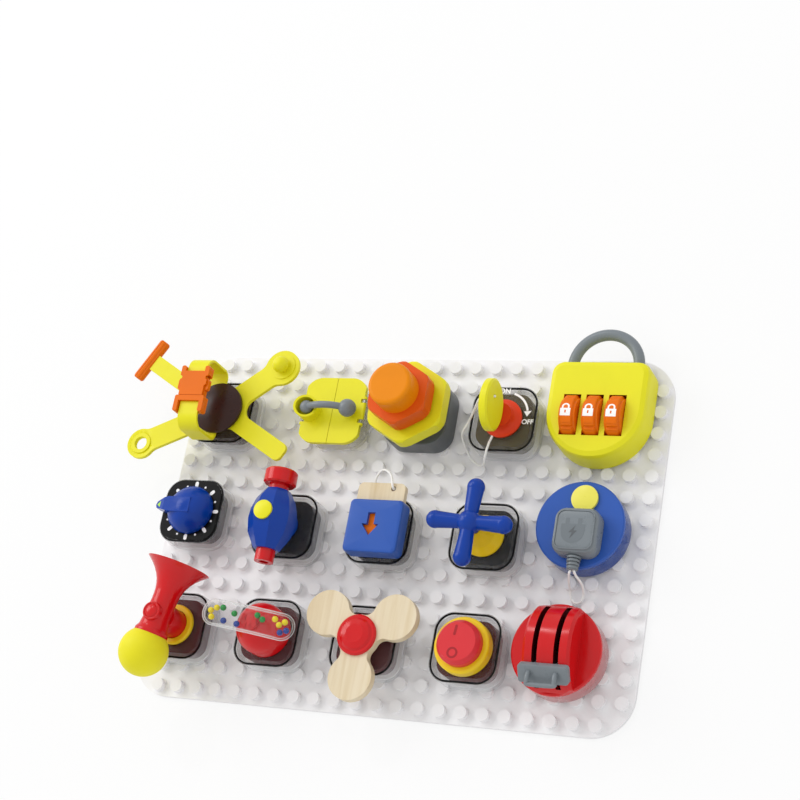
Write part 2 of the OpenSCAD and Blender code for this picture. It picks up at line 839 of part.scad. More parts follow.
// A hexagonal head with its corners turned down
module hex_head(r, low, high) {
    soft = 0.965 * r;
    edge = 1.5;
    intersection() {
        rotate(30) translate([0, 0, low]) cylinder(r = r, h = high - low, $fn = 6);
        rotate_extrude() polygon([[0, low], [soft - edge, low], [soft, low + edge],
            [soft, high - edge], [soft - edge, high], [0, high]]);
    }
}

module bolt_base() {
    color("dimgray") place(bolt_at) difference() {
        union() {
            slab(box_w, box_w, box_r, box_low, box_top);
            rod(bolt_shank_r + 6, box_top, nut_low - face_gap);
        }
        slab(box_in, box_in, box_r - box_wall, box_low - over, box_top - lid_t);
        rod(bolt_shank_r + run_gap, box_low, nut_low);
    }
}

module yellow_nut() {
    color("yellow") place(bolt_at) difference() {
        hex_head(nut_r, nut_low, nut_low + nut_h);
        rod(bolt_shank_r + run_gap, nut_low - over, nut_low + nut_h + over);
    }
}

module orange_bolt() {
    cap_low = bolt_low + bolt_hex_h;
    top = cap_low + bolt_cap_h;
    edge = 3;
    color("darkorange") place(bolt_at) {
        hex_head(bolt_hex_r, bolt_low, cap_low);
        rotate_extrude() polygon(concat([[0, bolt_low], [bolt_cap_r, bolt_low]],
            arc(bolt_cap_r - edge, top - edge, edge, 0, 90, 6), [[0, top]]));
        rod(bolt_shank_r + 5, nut_low + nut_h + face_gap, bolt_low + over);
        rod(bolt_shank_r, shaft_low, bolt_low + over);
    }
}

// ---------------------------------------------------------------- key switch

barrel_top = lift + key_barrel_h;
bow_z = barrel_top + face_gap + bow_h;
slot_low = barrel_top - blade_l;
string_r = 0.9;

module key_barrel() {
    color("orangered") place(key_at) difference() {
        union() {
            rotate_extrude() polygon(concat([[0, lift], [key_flange_r, lift], [key_flange_r, lift + 1.6]],
                arc(key_flange_r, barrel_top - 1.5, key_barrel_h - 3.1, -90, -180, 6),
                [[key_flange_r - key_barrel_h + 3.1, barrel_top], [0, barrel_top]]));
            rod(key_drum_r, shaft_low, lift + over);
        }
        block(-blade_t / 2 - face_gap, blade_t / 2 + face_gap, -blade_w / 2 - face_gap,
            blade_w / 2 + face_gap, slot_low - face_gap, barrel_top + over);
    }
}

// Oval outline with half axes a and b, along Y and Z
module oval(a, b, t) {
    translate([-t / 2, 0, 0]) rotate([90, 0, 90]) linear_extrude(t)
        polygon([for (i = [0:47]) [a * cos(7.5 * i), b * sin(7.5 * i)]]);
}

// Key string, from the hole in the bow: over the box's edge, down to the board and back to the flange
KEY_STRING = [[4, 0, 0], [-3.4, 0, 0], [-6, -0.3, -0.6], [-9.6, -1.2, -3.8], [-13, -2.6, -9], [-17, -4.6, -15.6],
    [-21, -7.4, -21.6], [-24.6, -10.6, -26], [-27.4, -13.6, -28.2], [-29.6, -16.2, -31], [-30.6, -18.8, -36],
    [-30.4, -21.6, -41.6], [-29.2, -25.2, -45.4], [-26.6, -29.4, -46.8], [-22.6, -32.8, -46.8],
    [-18.4, -35.4, -45.8], [-14.6, -36.2, -42], [-11.6, -36.4, -36.8], [-9.6, -36, -32],
    [-8.4, -34.2, -28.9], [-7.7, -30.6, -27.7], [-7.2, -26.8, -27.8], [-6.8, -23.4, -28.4],
    [-6.2, -20.8, -28.9], [-5.6, -18.4, -29.1]];
key_hole = [0, 5, 3.6];

module key() {
    color("yellow") place(key_at) difference() {
        union() {
            translate([0, 0, bow_z]) hull() {
                oval(bow_l, bow_h, bow_t - 2);
                oval(bow_l - 1.6, bow_h - 1.6, bow_t);
            }
            block(-blade_t / 2, blade_t / 2, -blade_w / 2, blade_w / 2, slot_low, bow_z);
        }
        translate([0, 0, bow_z] + key_hole) rod_x(1.6, -bow_t, bow_t);
    }
}

module key_string() {
    color("white") place(key_at) translate([0, 0, bow_z] + key_hole) {
        cord(KEY_STRING, string_r, [0, 0, 1]);
        translate([bow_t / 2 + 1.7, 0, 0]) sphere(2.2);
    }
}

// ---------------------------------------------------------------- padlock

lock_low = box_low;
lock_high = lock_low + lock_t;
shackle_z = lock_low + lock_t / 2;
wheels_y = -5;
wheels_x = -0.7;
pocket_r = wheel_r + face_gap;

module lock_outline(inset) {
    r = 10 - inset;
    half = lock_w / 2 - inset;
    top = lock_top - inset;
    circle(half);
    translate([-half, 0]) square([2 * half, top - r]);
    translate([-half + r, 0]) square([2 * (half - r), top]);
    for (x = [-1, 1]) translate([x * (half - r), top - r]) circle(r);
}

module lock_layer(inset, high) {
    translate([0, 0, lock_low]) linear_extrude(high - lock_low) lock_outline(inset);
}

module padlock_body() {
    color("yellow") place(padlock_at) difference() {
        hull() {
            lock_layer(0, lock_high - 5, $fn = 64);
            lock_layer(1.4, lock_high - 1.5, $fn = 64);
            lock_layer(4.5, lock_high, $fn = 64);
        }
        translate([shackle_span / 2, 0, shackle_z])
            rod_y(shackle_r + run_gap, lock_top - short_leg - over, lock_top + over);
        translate([-shackle_span / 2, 0, shackle_z])
            rod_y(shackle_r + run_gap, lock_top - long_leg - over, lock_top + over);
        for (i = [-1:1]) translate([wheels_x + i * wheel_pitch, wheels_y, 0]) {
            translate([0, 0, wheel_axle_z]) rod_x(pocket_r, -wheel_w / 2 - face_gap, wheel_w / 2 + face_gap);
            block(-wheel_w / 2 - face_gap, wheel_w / 2 + face_gap, -12, 12, lock_low - over, wheel_axle_z);
        }
        translate([wheels_x, wheels_y, wheel_axle_z])
            rod_x(wheel_axle_r + run_gap, -1.5 * wheel_pitch - 3.2, 1.5 * wheel_pitch + 3.2);
    }
}

module shackle() {
    half = shackle_span / 2;
    color("slategray") place(padlock_at) translate([0, lock_top, shackle_z]) {
        rotate_extrude(angle = 180) translate([half, 0]) circle(shackle_r);
        translate([half, 0, 0]) rod_y(shackle_r, -short_leg, 0);
        translate([-half, 0, 0]) rod_y(shackle_r, -long_leg, 0);
    }
}

// An eight-sided wheel with rounded corners, bored for the axle
module code_wheel(i) {
    color("darkorange") place(padlock_at)
        translate([wheels_x + i * wheel_pitch, wheels_y, wheel_axle_z]) difference() {
            intersection() {
                rotate([22.5, 0, 0]) rotate([0, 90, 0])
                    cylinder(r = wheel_r * 1.03, h = wheel_w, center = true, $fn = 8);
                rod_x(wheel_r, -wheel_w / 2, wheel_w / 2);
            }
            rod_x(wheel_axle_r + run_gap, -wheel_w, wheel_w);
        }
}

module code_wheel_left() { code_wheel(-1); }
module code_wheel_middle() { code_wheel(0); }
module code_wheel_right() { code_wheel(1); }

module code_wheel_axle() {
    color("silver") place(padlock_at) translate([wheels_x, wheels_y, wheel_axle_z])
        rod_x(wheel_axle_r, -1.5 * wheel_pitch - 3, 1.5 * wheel_pitch + 3);
}

// ---------------------------------------------------------------- dial

face_t = 0.8;
dial_low = box_top + face_t + face_gap;

module dial_face() {
    w = box_w - 2 * box_wall / 3 - 2 * rim_w - 2 * socket_gap;
    color("black") place(dial_at) difference() {
        slab(w, w, box_r - box_wall / 3 - rim_w - socket_gap, box_top, box_top + face_t);
        rod(shaft_r + run_gap, box_top - over, box_top + face_t + over);
    }
}

grip_low = dial_low + 3;
grip_top = dial_low + dial_h - 0.6;
nose_x = pointer_reach - 9.5;
nose_turn = 30;
mark_t = 1.2;

// The slanted nose of the knob's grip bar
module at_nose() { translate([-nose_x, 0, grip_top]) rotate([0, -nose_turn, 0]) children(); }

// The triangle set into the nose
module pointer_mark(h) {
    at_nose() translate([0, 0, -mark_t]) linear_extrude(h) polygon([[-9, 0], [-4.5, 2.4], [-4.5, -2.4]]);
}

module dial_knob() {
    tip = pointer_reach;
    color("mediumblue") place(dial_at) difference() {
        union() {
            rod(dial_r, dial_low, dial_low + 2.5);
            translate([0, 0, dial_low + 2.5]) dome(dial_r, dial_h - 2.5);
            translate([0, 0, grip_low]) linear_extrude(grip_top - grip_low)
                polygon([[6, -grip_w / 2], [6, grip_w / 2], [6 - dial_r, grip_w / 2], [-tip + 1.5, 2.5],
                    [-tip, 0], [-tip + 1.5, -2.5], [6 - dial_r, -grip_w / 2]]);
            rod(shaft_r, shaft_low, dial_low + over);
        }
        pointer_mark(mark_t + over);
        at_nose() block(-20, 0, -grip_w, grip_w, 0, 12);
    }
}

module dial_pointer() { color("yellowgreen") place(dial_at) pointer_mark(mark_t); }

// ---------------------------------------------------------------- tap

module tap_shape() {
    rotate([-90, 22.5, 0]) rotate_extrude($fn = 8) polygon([[0, -tap_back], [tap_end_r, -tap_back],
        [tap_mid_r * 0.9, -tap_back * 0.55], [tap_mid_r, -tap_back * 0.15],
        [tap_mid_r * 0.97, tap_front * 0.2], [tap_mid_r * 0.82, tap_front * 0.62],
        [tap_end_r, tap_front], [0, tap_front]]);
}

tap_top = tap_z + tap_mid_r * cos(22.5);
tap_shaft_r = 4;

module tap_body() {
    color("mediumblue") place(tap_at) difference() {
        union() {
            translate([0, 0, tap_z]) tap_shape();
            rod(11, lift, tap_z - 8);
            rod(shaft_r, shaft_low, tap_z - 8);
        }
        translate([0, 0, tap_z]) rod_y(tap_shaft_r + run_gap, tap_front - 12, tap_front + over);
        translate([0, 0, tap_z]) rod_y(outlet_r - 2, -tap_back - over, -tap_back + 10);
        rod(tap_button_r + run_gap, tap_top - 8, tap_top + over);
    }
}

module tap_knob() {
    start = tap_front + face_gap;
    edge = 1.2;
    color("red") place(tap_at) translate([0, 0, tap_z]) {
        rod_y(tap_shaft_r, tap_front - 11, start + over);
        rod_y(tap_end_r * 0.75, start, start + 5);
        difference() {
            translate([0, start + 4, 0]) rotate([-90, 0, 0]) rotate_extrude() polygon([[0, 0],
                [tap_knob_r - edge, 0], [tap_knob_r, edge], [tap_knob_r, tap_knob_w - edge],
                [tap_knob_r - edge, tap_knob_w], [0, tap_knob_w]]);
            translate([0, start + 4, 0]) rod_y(tap_knob_r - 3, tap_knob_w - 1.2, tap_knob_w + over);
        }
    }
}

module tap_outlet() {
    color("red") place(tap_at) translate([0, 0, tap_z]) difference() {
        union() {
            rod_y(outlet_r, -tap_back - outlet_l, -tap_back);
            rod_y(outlet_r - 2 - run_gap, -tap_back - over, -tap_back + 9);
        }
        rod_y(outlet_r - 3.5, -tap_back - outlet_l - over, -tap_back - 1.5);
    }
}

module tap_button() {
    low = tap_top - 8 + tap_button_travel + face_gap;
    color("gold") place(tap_at) {
        rod(tap_button_r, low, tap_top + 1.2);
        translate([0, 0, tap_top + 1.2]) dome(tap_button_r, 1.2);
    }
}

// ---------------------------------------------------------------- card slot

holder_low = box_top;
holder_top = box_top + holder_h;
holder_floor = 2.6;
card_low = holder_low + holder_floor + face_gap;
plate_low = card_low + card_t + face_gap;
arrow_t = 1.2;

module arrow_outline() {
    polygon([[-2.8, 8.5], [2.8, 8.5], [2.8, 0], [6.6, 0], [0, -8.5], [-6.6, 0], [-2.8, 0]]);
}

module card_holder() {
    inner = card_w + 2 * face_gap;
    color("royalblue") place(card_at) difference() {
        soft_slab(holder_w, holder_l, 4, holder_low, holder_top, 2.5);
        block(-inner / 2, inner / 2, -holder_l / 2 + 2, holder_l, holder_low + holder_floor, plate_low);
        block(-9, 9, -11, 11, plate_low - over, plate_low + arrow_t);
        translate([-2, 1, plate_low]) linear_extrude(holder_h) arrow_outline();
    }
}

module arrow_plate() {
    color("darkorange") place(card_at) block(-9, 9, -11, 11, plate_low, plate_low + arrow_t);
}

card_hole = [9, -4];

module wooden_card() {
    low = -holder_l / 2 + 2 + face_gap;
    high = holder_l / 2 + card_out;
    color("burlywood") place(card_at) difference() {
        translate([0, (low + high) / 2, 0]) slab(card_w, high - low, 4, card_low, card_low + card_t);
        translate([card_hole[0], high + card_hole[1], 0]) rod(card_hole_r, card_low - over, card_low + card_t + over);
    }
}

// Pull string of the card: out of the hole, over the end and back under the card
CARD_STRING = [[9, -4, 0.5], [9, -4, 2.6], [8.9, -3.2, 4], [8.4, -1, 4.5], [7.5, 1.5, 4.2], [6.2, 4.4, 3.2],
    [4, 7.4, 2.2], [0.8, 9.8, 1.4], [-2.6, 10.6, 0.6], [-5.4, 9.2, -0.4], [-7.6, 6.4, -1.8],
    [-8.8, 3.4, -3], [-8.6, 0.6, -4], [-6.6, -1.6, -4], [-2, -3.4, -3.7], [3, -4.4, -3.5],
    [6.8, -4.5, -3.4], [8.5, -4.2, -3], [9, -4, -2], [9, -4, -0.5]];

module card_string() {
    high = holder_l / 2 + card_out;
    color("white") place(card_at) translate([0, high, card_low + card_t / 2])
        cord(CARD_STRING, string_r, [0, 1, 0]);
}

// ---------------------------------------------------------------- cross handle

handle_z = box_top + cone_h + 7.5;

module cross_cone() {
    color("gold") place(cross_at) difference() {
        rotate_extrude() polygon([[0, box_top], [cone_base_r, box_top], [cone_base_r, box_top + 1.5],
            [cone_base_r * 0.72, box_top + cone_h * 0.35], [hub_r * 0.8, box_top + cone_h],
            [0, box_top + cone_h]]);
        rod(shaft_r + run_gap, box_top - over, box_top + cone_h + over);
    }
}

module cross_handle() {
    color("mediumblue") place(cross_at) {
        translate([0, 0, handle_z]) {
            sphere(hub_r);
            for (a = [0:90:270]) rotate([0, 0, a - 2]) rotate([0, 90, 0]) {
                cylinder(r1 = arm_r, r2 = arm_tip_r * 0.97, h = arm_reach - arm_tip_r);
                translate([0, 0, arm_reach - arm_tip_r]) sphere(arm_tip_r);
            }
        }
        rod(hub_r * 0.75, box_top + cone_h + face_gap, handle_z);
        rod(shaft_r, shaft_low, handle_z);
    }
}

// ---------------------------------------------------------------- charger

button_place = [1.5, 18.5, 0];
plug_place = [1.5, -8, 0];
pins_x = 8;
plug_low = lift;

module charger_drum() {
    color("royalblue") place(charger_at) difference() {
        drum_body();
        translate(button_place) rod(charge_button_r + run_gap, box_top - 9, box_top + over);
        for (x = [-1, 1]) translate(plug_place + [x * pins_x, 0, 0])
            rod(pin_r + run_gap, box_top - pin_l - 1, box_top + over);
    }
}

module charger_button() {
    low = box_top - 9 + charge_button_travel + face_gap;
    color("khaki") place(charger_at) translate(button_place) {
        rod(charge_button_r, low, box_top + 2);
        translate([0, 0, box_top + 2]) dome(charge_button_r, 1);
    }
}

relief_z = plug_low + 5.5;

module charger_plug() {
    end = -plug_l / 2;
    color("slategray") place(charger_at) translate(plug_place) {
        soft_slab(plug_w, plug_l, 8, plug_low, plug_low + plug_t, 4);
        for (x = [-1, 1]) translate([x * pins_x, 0, 0]) rod(pin_r, box_top - pin_l, plug_low + over);
        translate([0, 0, relief_z]) {
            rod_y(3.2, end - 10, end + over);
            for (k = [0:3]) rod_y(5 - 0.3 * k, end - 2 - 2.4 * k, end - 0.6 - 2.4 * k);
        }
    }
}

// String loop of the plug: out of the strain relief, down onto the board and back
CHARGER_STRING = [[-1.2, -26.5, 0], [-1.8, -28, -0.4], [-3, -29.4, -4], [-4.6, -30.6, -9.6],
    [-5.8, -32, -15.6], [-6.4, -34.4, -20.4], [-6.2, -37.6, -22.8], [-4.8, -40.8, -23.2], [-2, -42.6, -23.2],
    [1, -41.6, -23.2], [2.6, -38.4, -22.8], [3.2, -34.8, -20.4], [3.4, -32.2, -15.6], [3.2, -30.8, -9.6],
    [2.4, -29.6, -4], [1.8, -28, -0.4], [1.2, -26.5, 0]];

module charger_string() {
    color("white") place(charger_at) translate(plug_place + [0, 0, relief_z])
        cord(CHARGER_STRING, string_r, [1, 0, 0]);
}

// ---------------------------------------------------------------- horn

horn_turn = 78.5;
disc_r = ring_r - 4.5;
flare = bell_reach - 10;

module horn_ring() {
    color("gold") place(horn_at) difference() {
        rotate_extrude() polygon(concat([[disc_r + face_gap, box_top], [ring_r, box_top]],
            arc(ring_r - 1.5, box_top + 1.5, 1.5, 0, 90, 4), [[disc_r + face_gap, box_top + 3]]));
    }
}

// Radius of the horn's outside at a distance s from the swivel axis
function bell(s) = 9.2 + (bell_r - 9.2) * pow(max(0, (s - bell_reach + flare) / flare), 2.6);

module horn_body() {
    back = -ball_reach + 13;
    low = [for (i = [0:8]) let (s = bell_reach - flare + flare * i / 8) [bell(s), s]];
    high = [for (i = [8:-1:0]) let (s = bell_reach - flare + flare * i / 8) [bell(s) - bell_wall, s]];
    color("red") place(horn_at) difference() {
        union() {
            translate([0, 0, horn_z]) rotate(horn_turn - 90) rotate([-90, 0, 0]) rotate_extrude()
                polygon(concat([[0, back], [12.5, back], [12.5, back + 2], [10.8, back + 5], [9.6, 0]],
                    low, high, [[0, bell_reach - flare]]));
            rod(disc_r, lift, horn_z - 4);
            translate([0, 0, horn_z + 7]) dome(6.5, 4);
            rod(6.5, horn_z, horn_z + 7);
            rod(shaft_r, shaft_low, lift + over);
        }
        translate([0, 0, horn_z]) rotate(horn_turn - 90) translate([0, -ball_reach, 0]) sphere(ball_r + 0.05);
    }
}

module horn_ball() {
    color("yellow") place(horn_at) translate([0, 0, horn_z]) rotate(horn_turn - 90)
        translate([0, -ball_reach, 0]) sphere(ball_r);
}

// ---------------------------------------------------------------- rattle

rattle_turn = -7.4;
dome_h = 27;
capsule_low = lift + dome_h;
bead_low = capsule_low + capsule_wall + bead_r + 0.05;

module rattle_dome() {
    color("red") place(rattle_at) {
        difference() {
            union() {
                rod(dome_r, lift, lift + dome_h - dome_r);
                translate([0, 0, lift + dome_h - dome_r]) dome(dome_r, dome_r);
            }
            rod(dome_r, capsule_low - 1.5, capsule_low + 9);
        }
        rod(6, capsule_low - 3, capsule_low);
        rod(shaft_r, shaft_low, lift + over);
    }
}

module capsule_layer(inset, low, high) {
    slab(capsule_l - 2 * inset, capsule_w - 2 * inset, capsule_w / 2 - inset - 0.01, low, high);
}

// A flat oval capsule with rounded edges; inset is the wall for the inside
module capsule(inset) {
    low = capsule_low + inset;
    high = capsule_low + capsule_t - inset;
    edge = 3;
    hull() {
        capsule_layer(inset + edge, low, high, $fn = 32);
        capsule_layer(inset + 0.9, low + 0.9, high - 0.9, $fn = 32);
        capsule_layer(inset, low + edge, high - edge, $fn = 32);
    }
}

module rattle_capsule() {
    color("lightcyan", 0.4) place(rattle_at) rotate(rattle_turn) difference() {
        capsule(0);
        capsule(capsule_wall);
    }
}

// Beads lie on the floor of the capsule
BEADS = [[-31.4, 1], [-29.4, -3.4], [-27.4, 3.6], [-22.4, 4.6], [-19, -4.4], [-12.2, 2.2], [-8, -4.6],
    [6, 4.6], [10.8, 2.4], [20.4, 4.6], [24.8, 1.2], [28.6, 3.9], [27.2, -3.8], [31.6, -1.6]];

module rattle_beads() {
    color("limegreen") place(rattle_at) rotate(rattle_turn)
        for (b = BEADS) translate([b[0], b[1], bead_low]) sphere(bead_r);
}

// ---------------------------------------------------------------- spinner

wood_low = box_top + 5.5;

module spinner_wood() {
    color("burlywood") place(spinner_at) difference() {
        translate([0, 0, wood_low]) linear_extrude(wood_t) offset(r = -7) offset(delta = 7) {
            circle(15);
            for (a = [30, 150, 270]) rotate(a) translate([lobe_reach, 0]) circle(lobe_r);
        }
        rod(shaft_r + run_gap, wood_low - over, wood_low + wood_t + over);
    }
}

module spinner_cap() {
    low = wood_low + wood_t;
    color("red") place(spinner_at) {
        rotate_extrude() polygon([[0, low], [cap_r, low], [cap_r, low + 1.6], [cap_r - 1, low + 2.6],
            [cap_r - 2.6, low + 2.6], [cap_r - 4.2, low + cap_h * 0.75], [cap_r - 8, low + cap_h], [0, low + cap_h]]);
        rod(shaft_r, shaft_low, low + over);
        rod(9, lift, wood_low);
    }
}

// ---------------------------------------------------------------- push button

button_low = box_top + button_travel + face_gap;
button_top = box_top + button_h;
spring_r = 8;
wire_r = 0.7;
spring_turns = 5;

module button_ring() {
    color("gold") place(button_at) difference() {
        rotate_extrude() polygon(concat([[button_r + run_gap, box_top], [button_ring_r, box_top]],
            arc(button_ring_r - 2, box_top + button_ring_h - 2, 2, 0, 90, 4),
            [[button_r + run_gap, box_top + button_ring_h]]));
    }
}

module red_button() {
    color("red") place(button_at) difference() {
        union() {
            rotate_extrude() polygon([[0, button_low], [button_r, button_low], [button_r, button_top - 3.5],
                [button_r - 1, button_top - 2], [button_r - 2.5, button_top], [0, button_top]]);
            rod(shaft_r, shaft_low + button_travel, button_low + over);
        }
        difference() {
            rod(button_r - 3, button_low - over, button_top - 4);
            rod(shaft_r, button_low - 2 * over, button_top);
        }
    }
}

// Coil spring round the button's stem
module button_spring() {
    low = box_top + wire_r;
    rise = button_top - 4 - wire_r - low;
    steps = spring_turns * 12;
    color("silver") place(button_at)
        cord([for (i = [0:steps]) [spring_r * cos(30 * i), spring_r * sin(30 * i), low + rise * i / steps]],
            wire_r, [1, 0, 0], 6);
}

// ---------------------------------------------------------------- throttle

slot_t = handle_arm_t + 2 * face_gap;
handle_rest = 37;
handle_low = arch_r + 0.5;
bar_t = 5;
pull_w = 22;
pull_l = 8;
pull_h = 7;
pull_wall = 3;

module throttle_drum() {
    color("red") place(throttle_at) difference() {
        union() {
            drum_body();
            intersection() {
                translate([0, 0, arch_z]) rotate([0, 90, 0]) rotate_extrude() polygon([[0, -arch_w / 2],
                    [arch_r - 2, -arch_w / 2], [arch_r, -arch_w / 2 + 2], [arch_r, arch_w / 2 - 2],
                    [arch_r - 2, arch_w / 2], [0, arch_w / 2]]);
                rod(drum_r, box_top - over, arch_z + arch_r + over);
            }
        }
        for (x = [-1, 1]) translate([x * slot_x - slot_t / 2, 0, 0])
            intersection() {
                block(0, slot_t, -28, 28, box_low + 2, arch_z + arch_r + over);
                translate([-over, 0, arch_z]) rod_x(arch_r + over, 0, slot_t + 2 * over);
            }
        translate([0, 0, arch_z]) rod_x(3, -slot_x - 8, slot_x + 8);
    }
}

module throttle_axle() {
    color("silver") place(throttle_at) translate([0, 0, arch_z]) rod_x(3, -slot_x - 8, slot_x + 8);
}

// Two arms on the axle carry a bar with a pull loop; it stands at handle_rest
module throttle_handle() {
    inner = handle_low;
    color("slategray") place(throttle_at) translate([0, 0, arch_z]) rotate([handle_rest, 0, 0]) {
        difference() {
            union() {
                for (x = [-1, 1]) translate([x * slot_x - handle_arm_t / 2, 0, 0]) {
                    rod_x(5, 0, handle_arm_t);
                    block(0, handle_arm_t, -4, 4, 0, inner + 1);
                }
                translate([0, 0, inner]) soft_slab(handle_w, handle_h, 2.5, 0, bar_t, 1.2);
            }
            rod_x(3 + run_gap, -slot_x - 9, slot_x + 9);
        }
        translate([0, -2, inner + bar_t - 0.5]) pull_loop();
    }
}

// The D-shaped pull on the front of the bar
module pull_loop() {
    difference() {
        slab(pull_w, pull_l, 3, 0, pull_h);
        slab(pull_w - 2 * pull_wall, pull_l + 4, 1, -over, pull_h - pull_wall);
    }
}

base_plate();
module_feet();
clear_shells();
shell_rims();
inner_housings();
strap_star();
toggle_bar();
belt_upper();
belt_lower();
buckle_socket();
buckle_tongue();
strap_badge();
latch_box();
latch_door_left();
latch_door_right();
latch_hook();
latch_pins();
bolt_base();
yellow_nut();
orange_bolt();
key_barrel();
key();
key_string();
padlock_body();
shackle();
code_wheel_left();
code_wheel_middle();
code_wheel_right();
code_wheel_axle();
dial_face();
dial_knob();
dial_pointer();
tap_body();
tap_knob();
tap_outlet();
tap_button();
card_holder();
arrow_plate();
wooden_card();
card_string();
cross_cone();
cross_handle();
charger_drum();
charger_button();
charger_plug();
charger_string();
horn_ring();
horn_body();
horn_ball();
rattle_dome();
rattle_capsule();
rattle_beads();
spinner_wood();
spinner_cap();
button_ring();
red_button();
button_spring();
throttle_drum();
throttle_handle();
throttle_axle();
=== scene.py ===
"""Looks of the studded activity board: materials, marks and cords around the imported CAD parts.

The frame is the CAD's, in metres. Lengths below are in mm and MM turns them into metres. Heights
count from the top of the board's plate, and spot() and at() give places on the board.
"""
import math

import bpy
import bmesh
from mathutils import Matrix, Vector


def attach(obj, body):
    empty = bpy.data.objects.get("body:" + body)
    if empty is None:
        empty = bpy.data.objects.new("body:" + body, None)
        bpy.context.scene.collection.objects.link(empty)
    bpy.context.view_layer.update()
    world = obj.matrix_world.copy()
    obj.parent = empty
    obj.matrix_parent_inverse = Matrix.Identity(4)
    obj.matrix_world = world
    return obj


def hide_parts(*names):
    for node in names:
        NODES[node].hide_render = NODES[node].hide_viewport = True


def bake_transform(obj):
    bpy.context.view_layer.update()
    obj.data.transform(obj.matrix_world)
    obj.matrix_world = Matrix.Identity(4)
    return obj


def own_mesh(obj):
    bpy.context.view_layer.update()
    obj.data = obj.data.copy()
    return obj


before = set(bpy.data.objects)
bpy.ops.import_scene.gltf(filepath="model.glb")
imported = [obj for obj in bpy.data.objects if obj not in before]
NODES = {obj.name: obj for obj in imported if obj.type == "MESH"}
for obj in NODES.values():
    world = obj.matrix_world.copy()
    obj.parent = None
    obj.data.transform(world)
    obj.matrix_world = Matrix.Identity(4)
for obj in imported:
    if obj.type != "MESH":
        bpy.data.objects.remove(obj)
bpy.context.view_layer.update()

MM = 0.001
PLATE = 3.0          # thickness of the plate
BOX_TOP = 23.5       # top face of a module box
PITCH = 16.0         # stud pitch

# Centres of the modules, in half stud pitches from the board's centre
STRAPS_AT, LATCH_AT, KEY_AT, PADLOCK_AT = (-19, 10), (-7.5, 10.5), (9.5, 10), (18, 11)
DIAL_AT, CARD_AT, CHARGER_AT = (-20, 0), (-0.5, -1), (18, 0.5)
HORN_AT, RATTLE_AT, SPINNER_AT, BUTTON_AT = (-19, -11), (-9.5, -11), (0, -11), (9.5, -11)
THROTTLE_AT = (17.5, -10.5)


def spot(cols, rows, z=0.0):
    """A place in metres: half stud pitches from the board's centre, and height z over the plate."""
    return Vector((cols * PITCH / 2, rows * PITCH / 2, PLATE + z)) * MM


def at(cols, rows, z, x=0.0, y=0.0, turned=0.0):
    """A matrix at a point (x, y) mm from a module's centre, turned about Z by degrees."""
    place = Matrix.Translation(spot(cols, rows, z) + Vector((x, y, 0)) * MM)
    return place @ Matrix.Rotation(math.radians(turned), 4, "Z")


# ---------------------------------------------------------------- camera

# Solved from the stud grid in the photograph: the place in mm, and the camera's axes
CAMERA_AT = Vector((528.882, -365.637, 1134.088 + PLATE))
RIGHT = Vector((0.9131863, 0.17338351, -0.36882101))
UP = Vector((-0.01773773, 0.92103965, 0.38906469))
BACK = Vector((0.40715618, -0.34874649, 0.84415622))
LENS, SENSOR = 80.81, 36.0


def add_camera():
    """The camera at the photograph's place and angle."""
    data = bpy.data.cameras.new("camera")
    data.lens = LENS
    data.sensor_width = SENSOR
    data.clip_end = 20.0
    camera = bpy.data.objects.new("camera", data)
    axes = Matrix((RIGHT, UP, BACK)).transposed().to_4x4()
    camera.matrix_world = Matrix.Translation(CAMERA_AT * MM) @ axes
    bpy.context.scene.collection.objects.link(camera)
    bpy.context.scene.camera = camera


add_camera()

# ---------------------------------------------------------------- material helpers

PLASTIC_IOR = 1.49


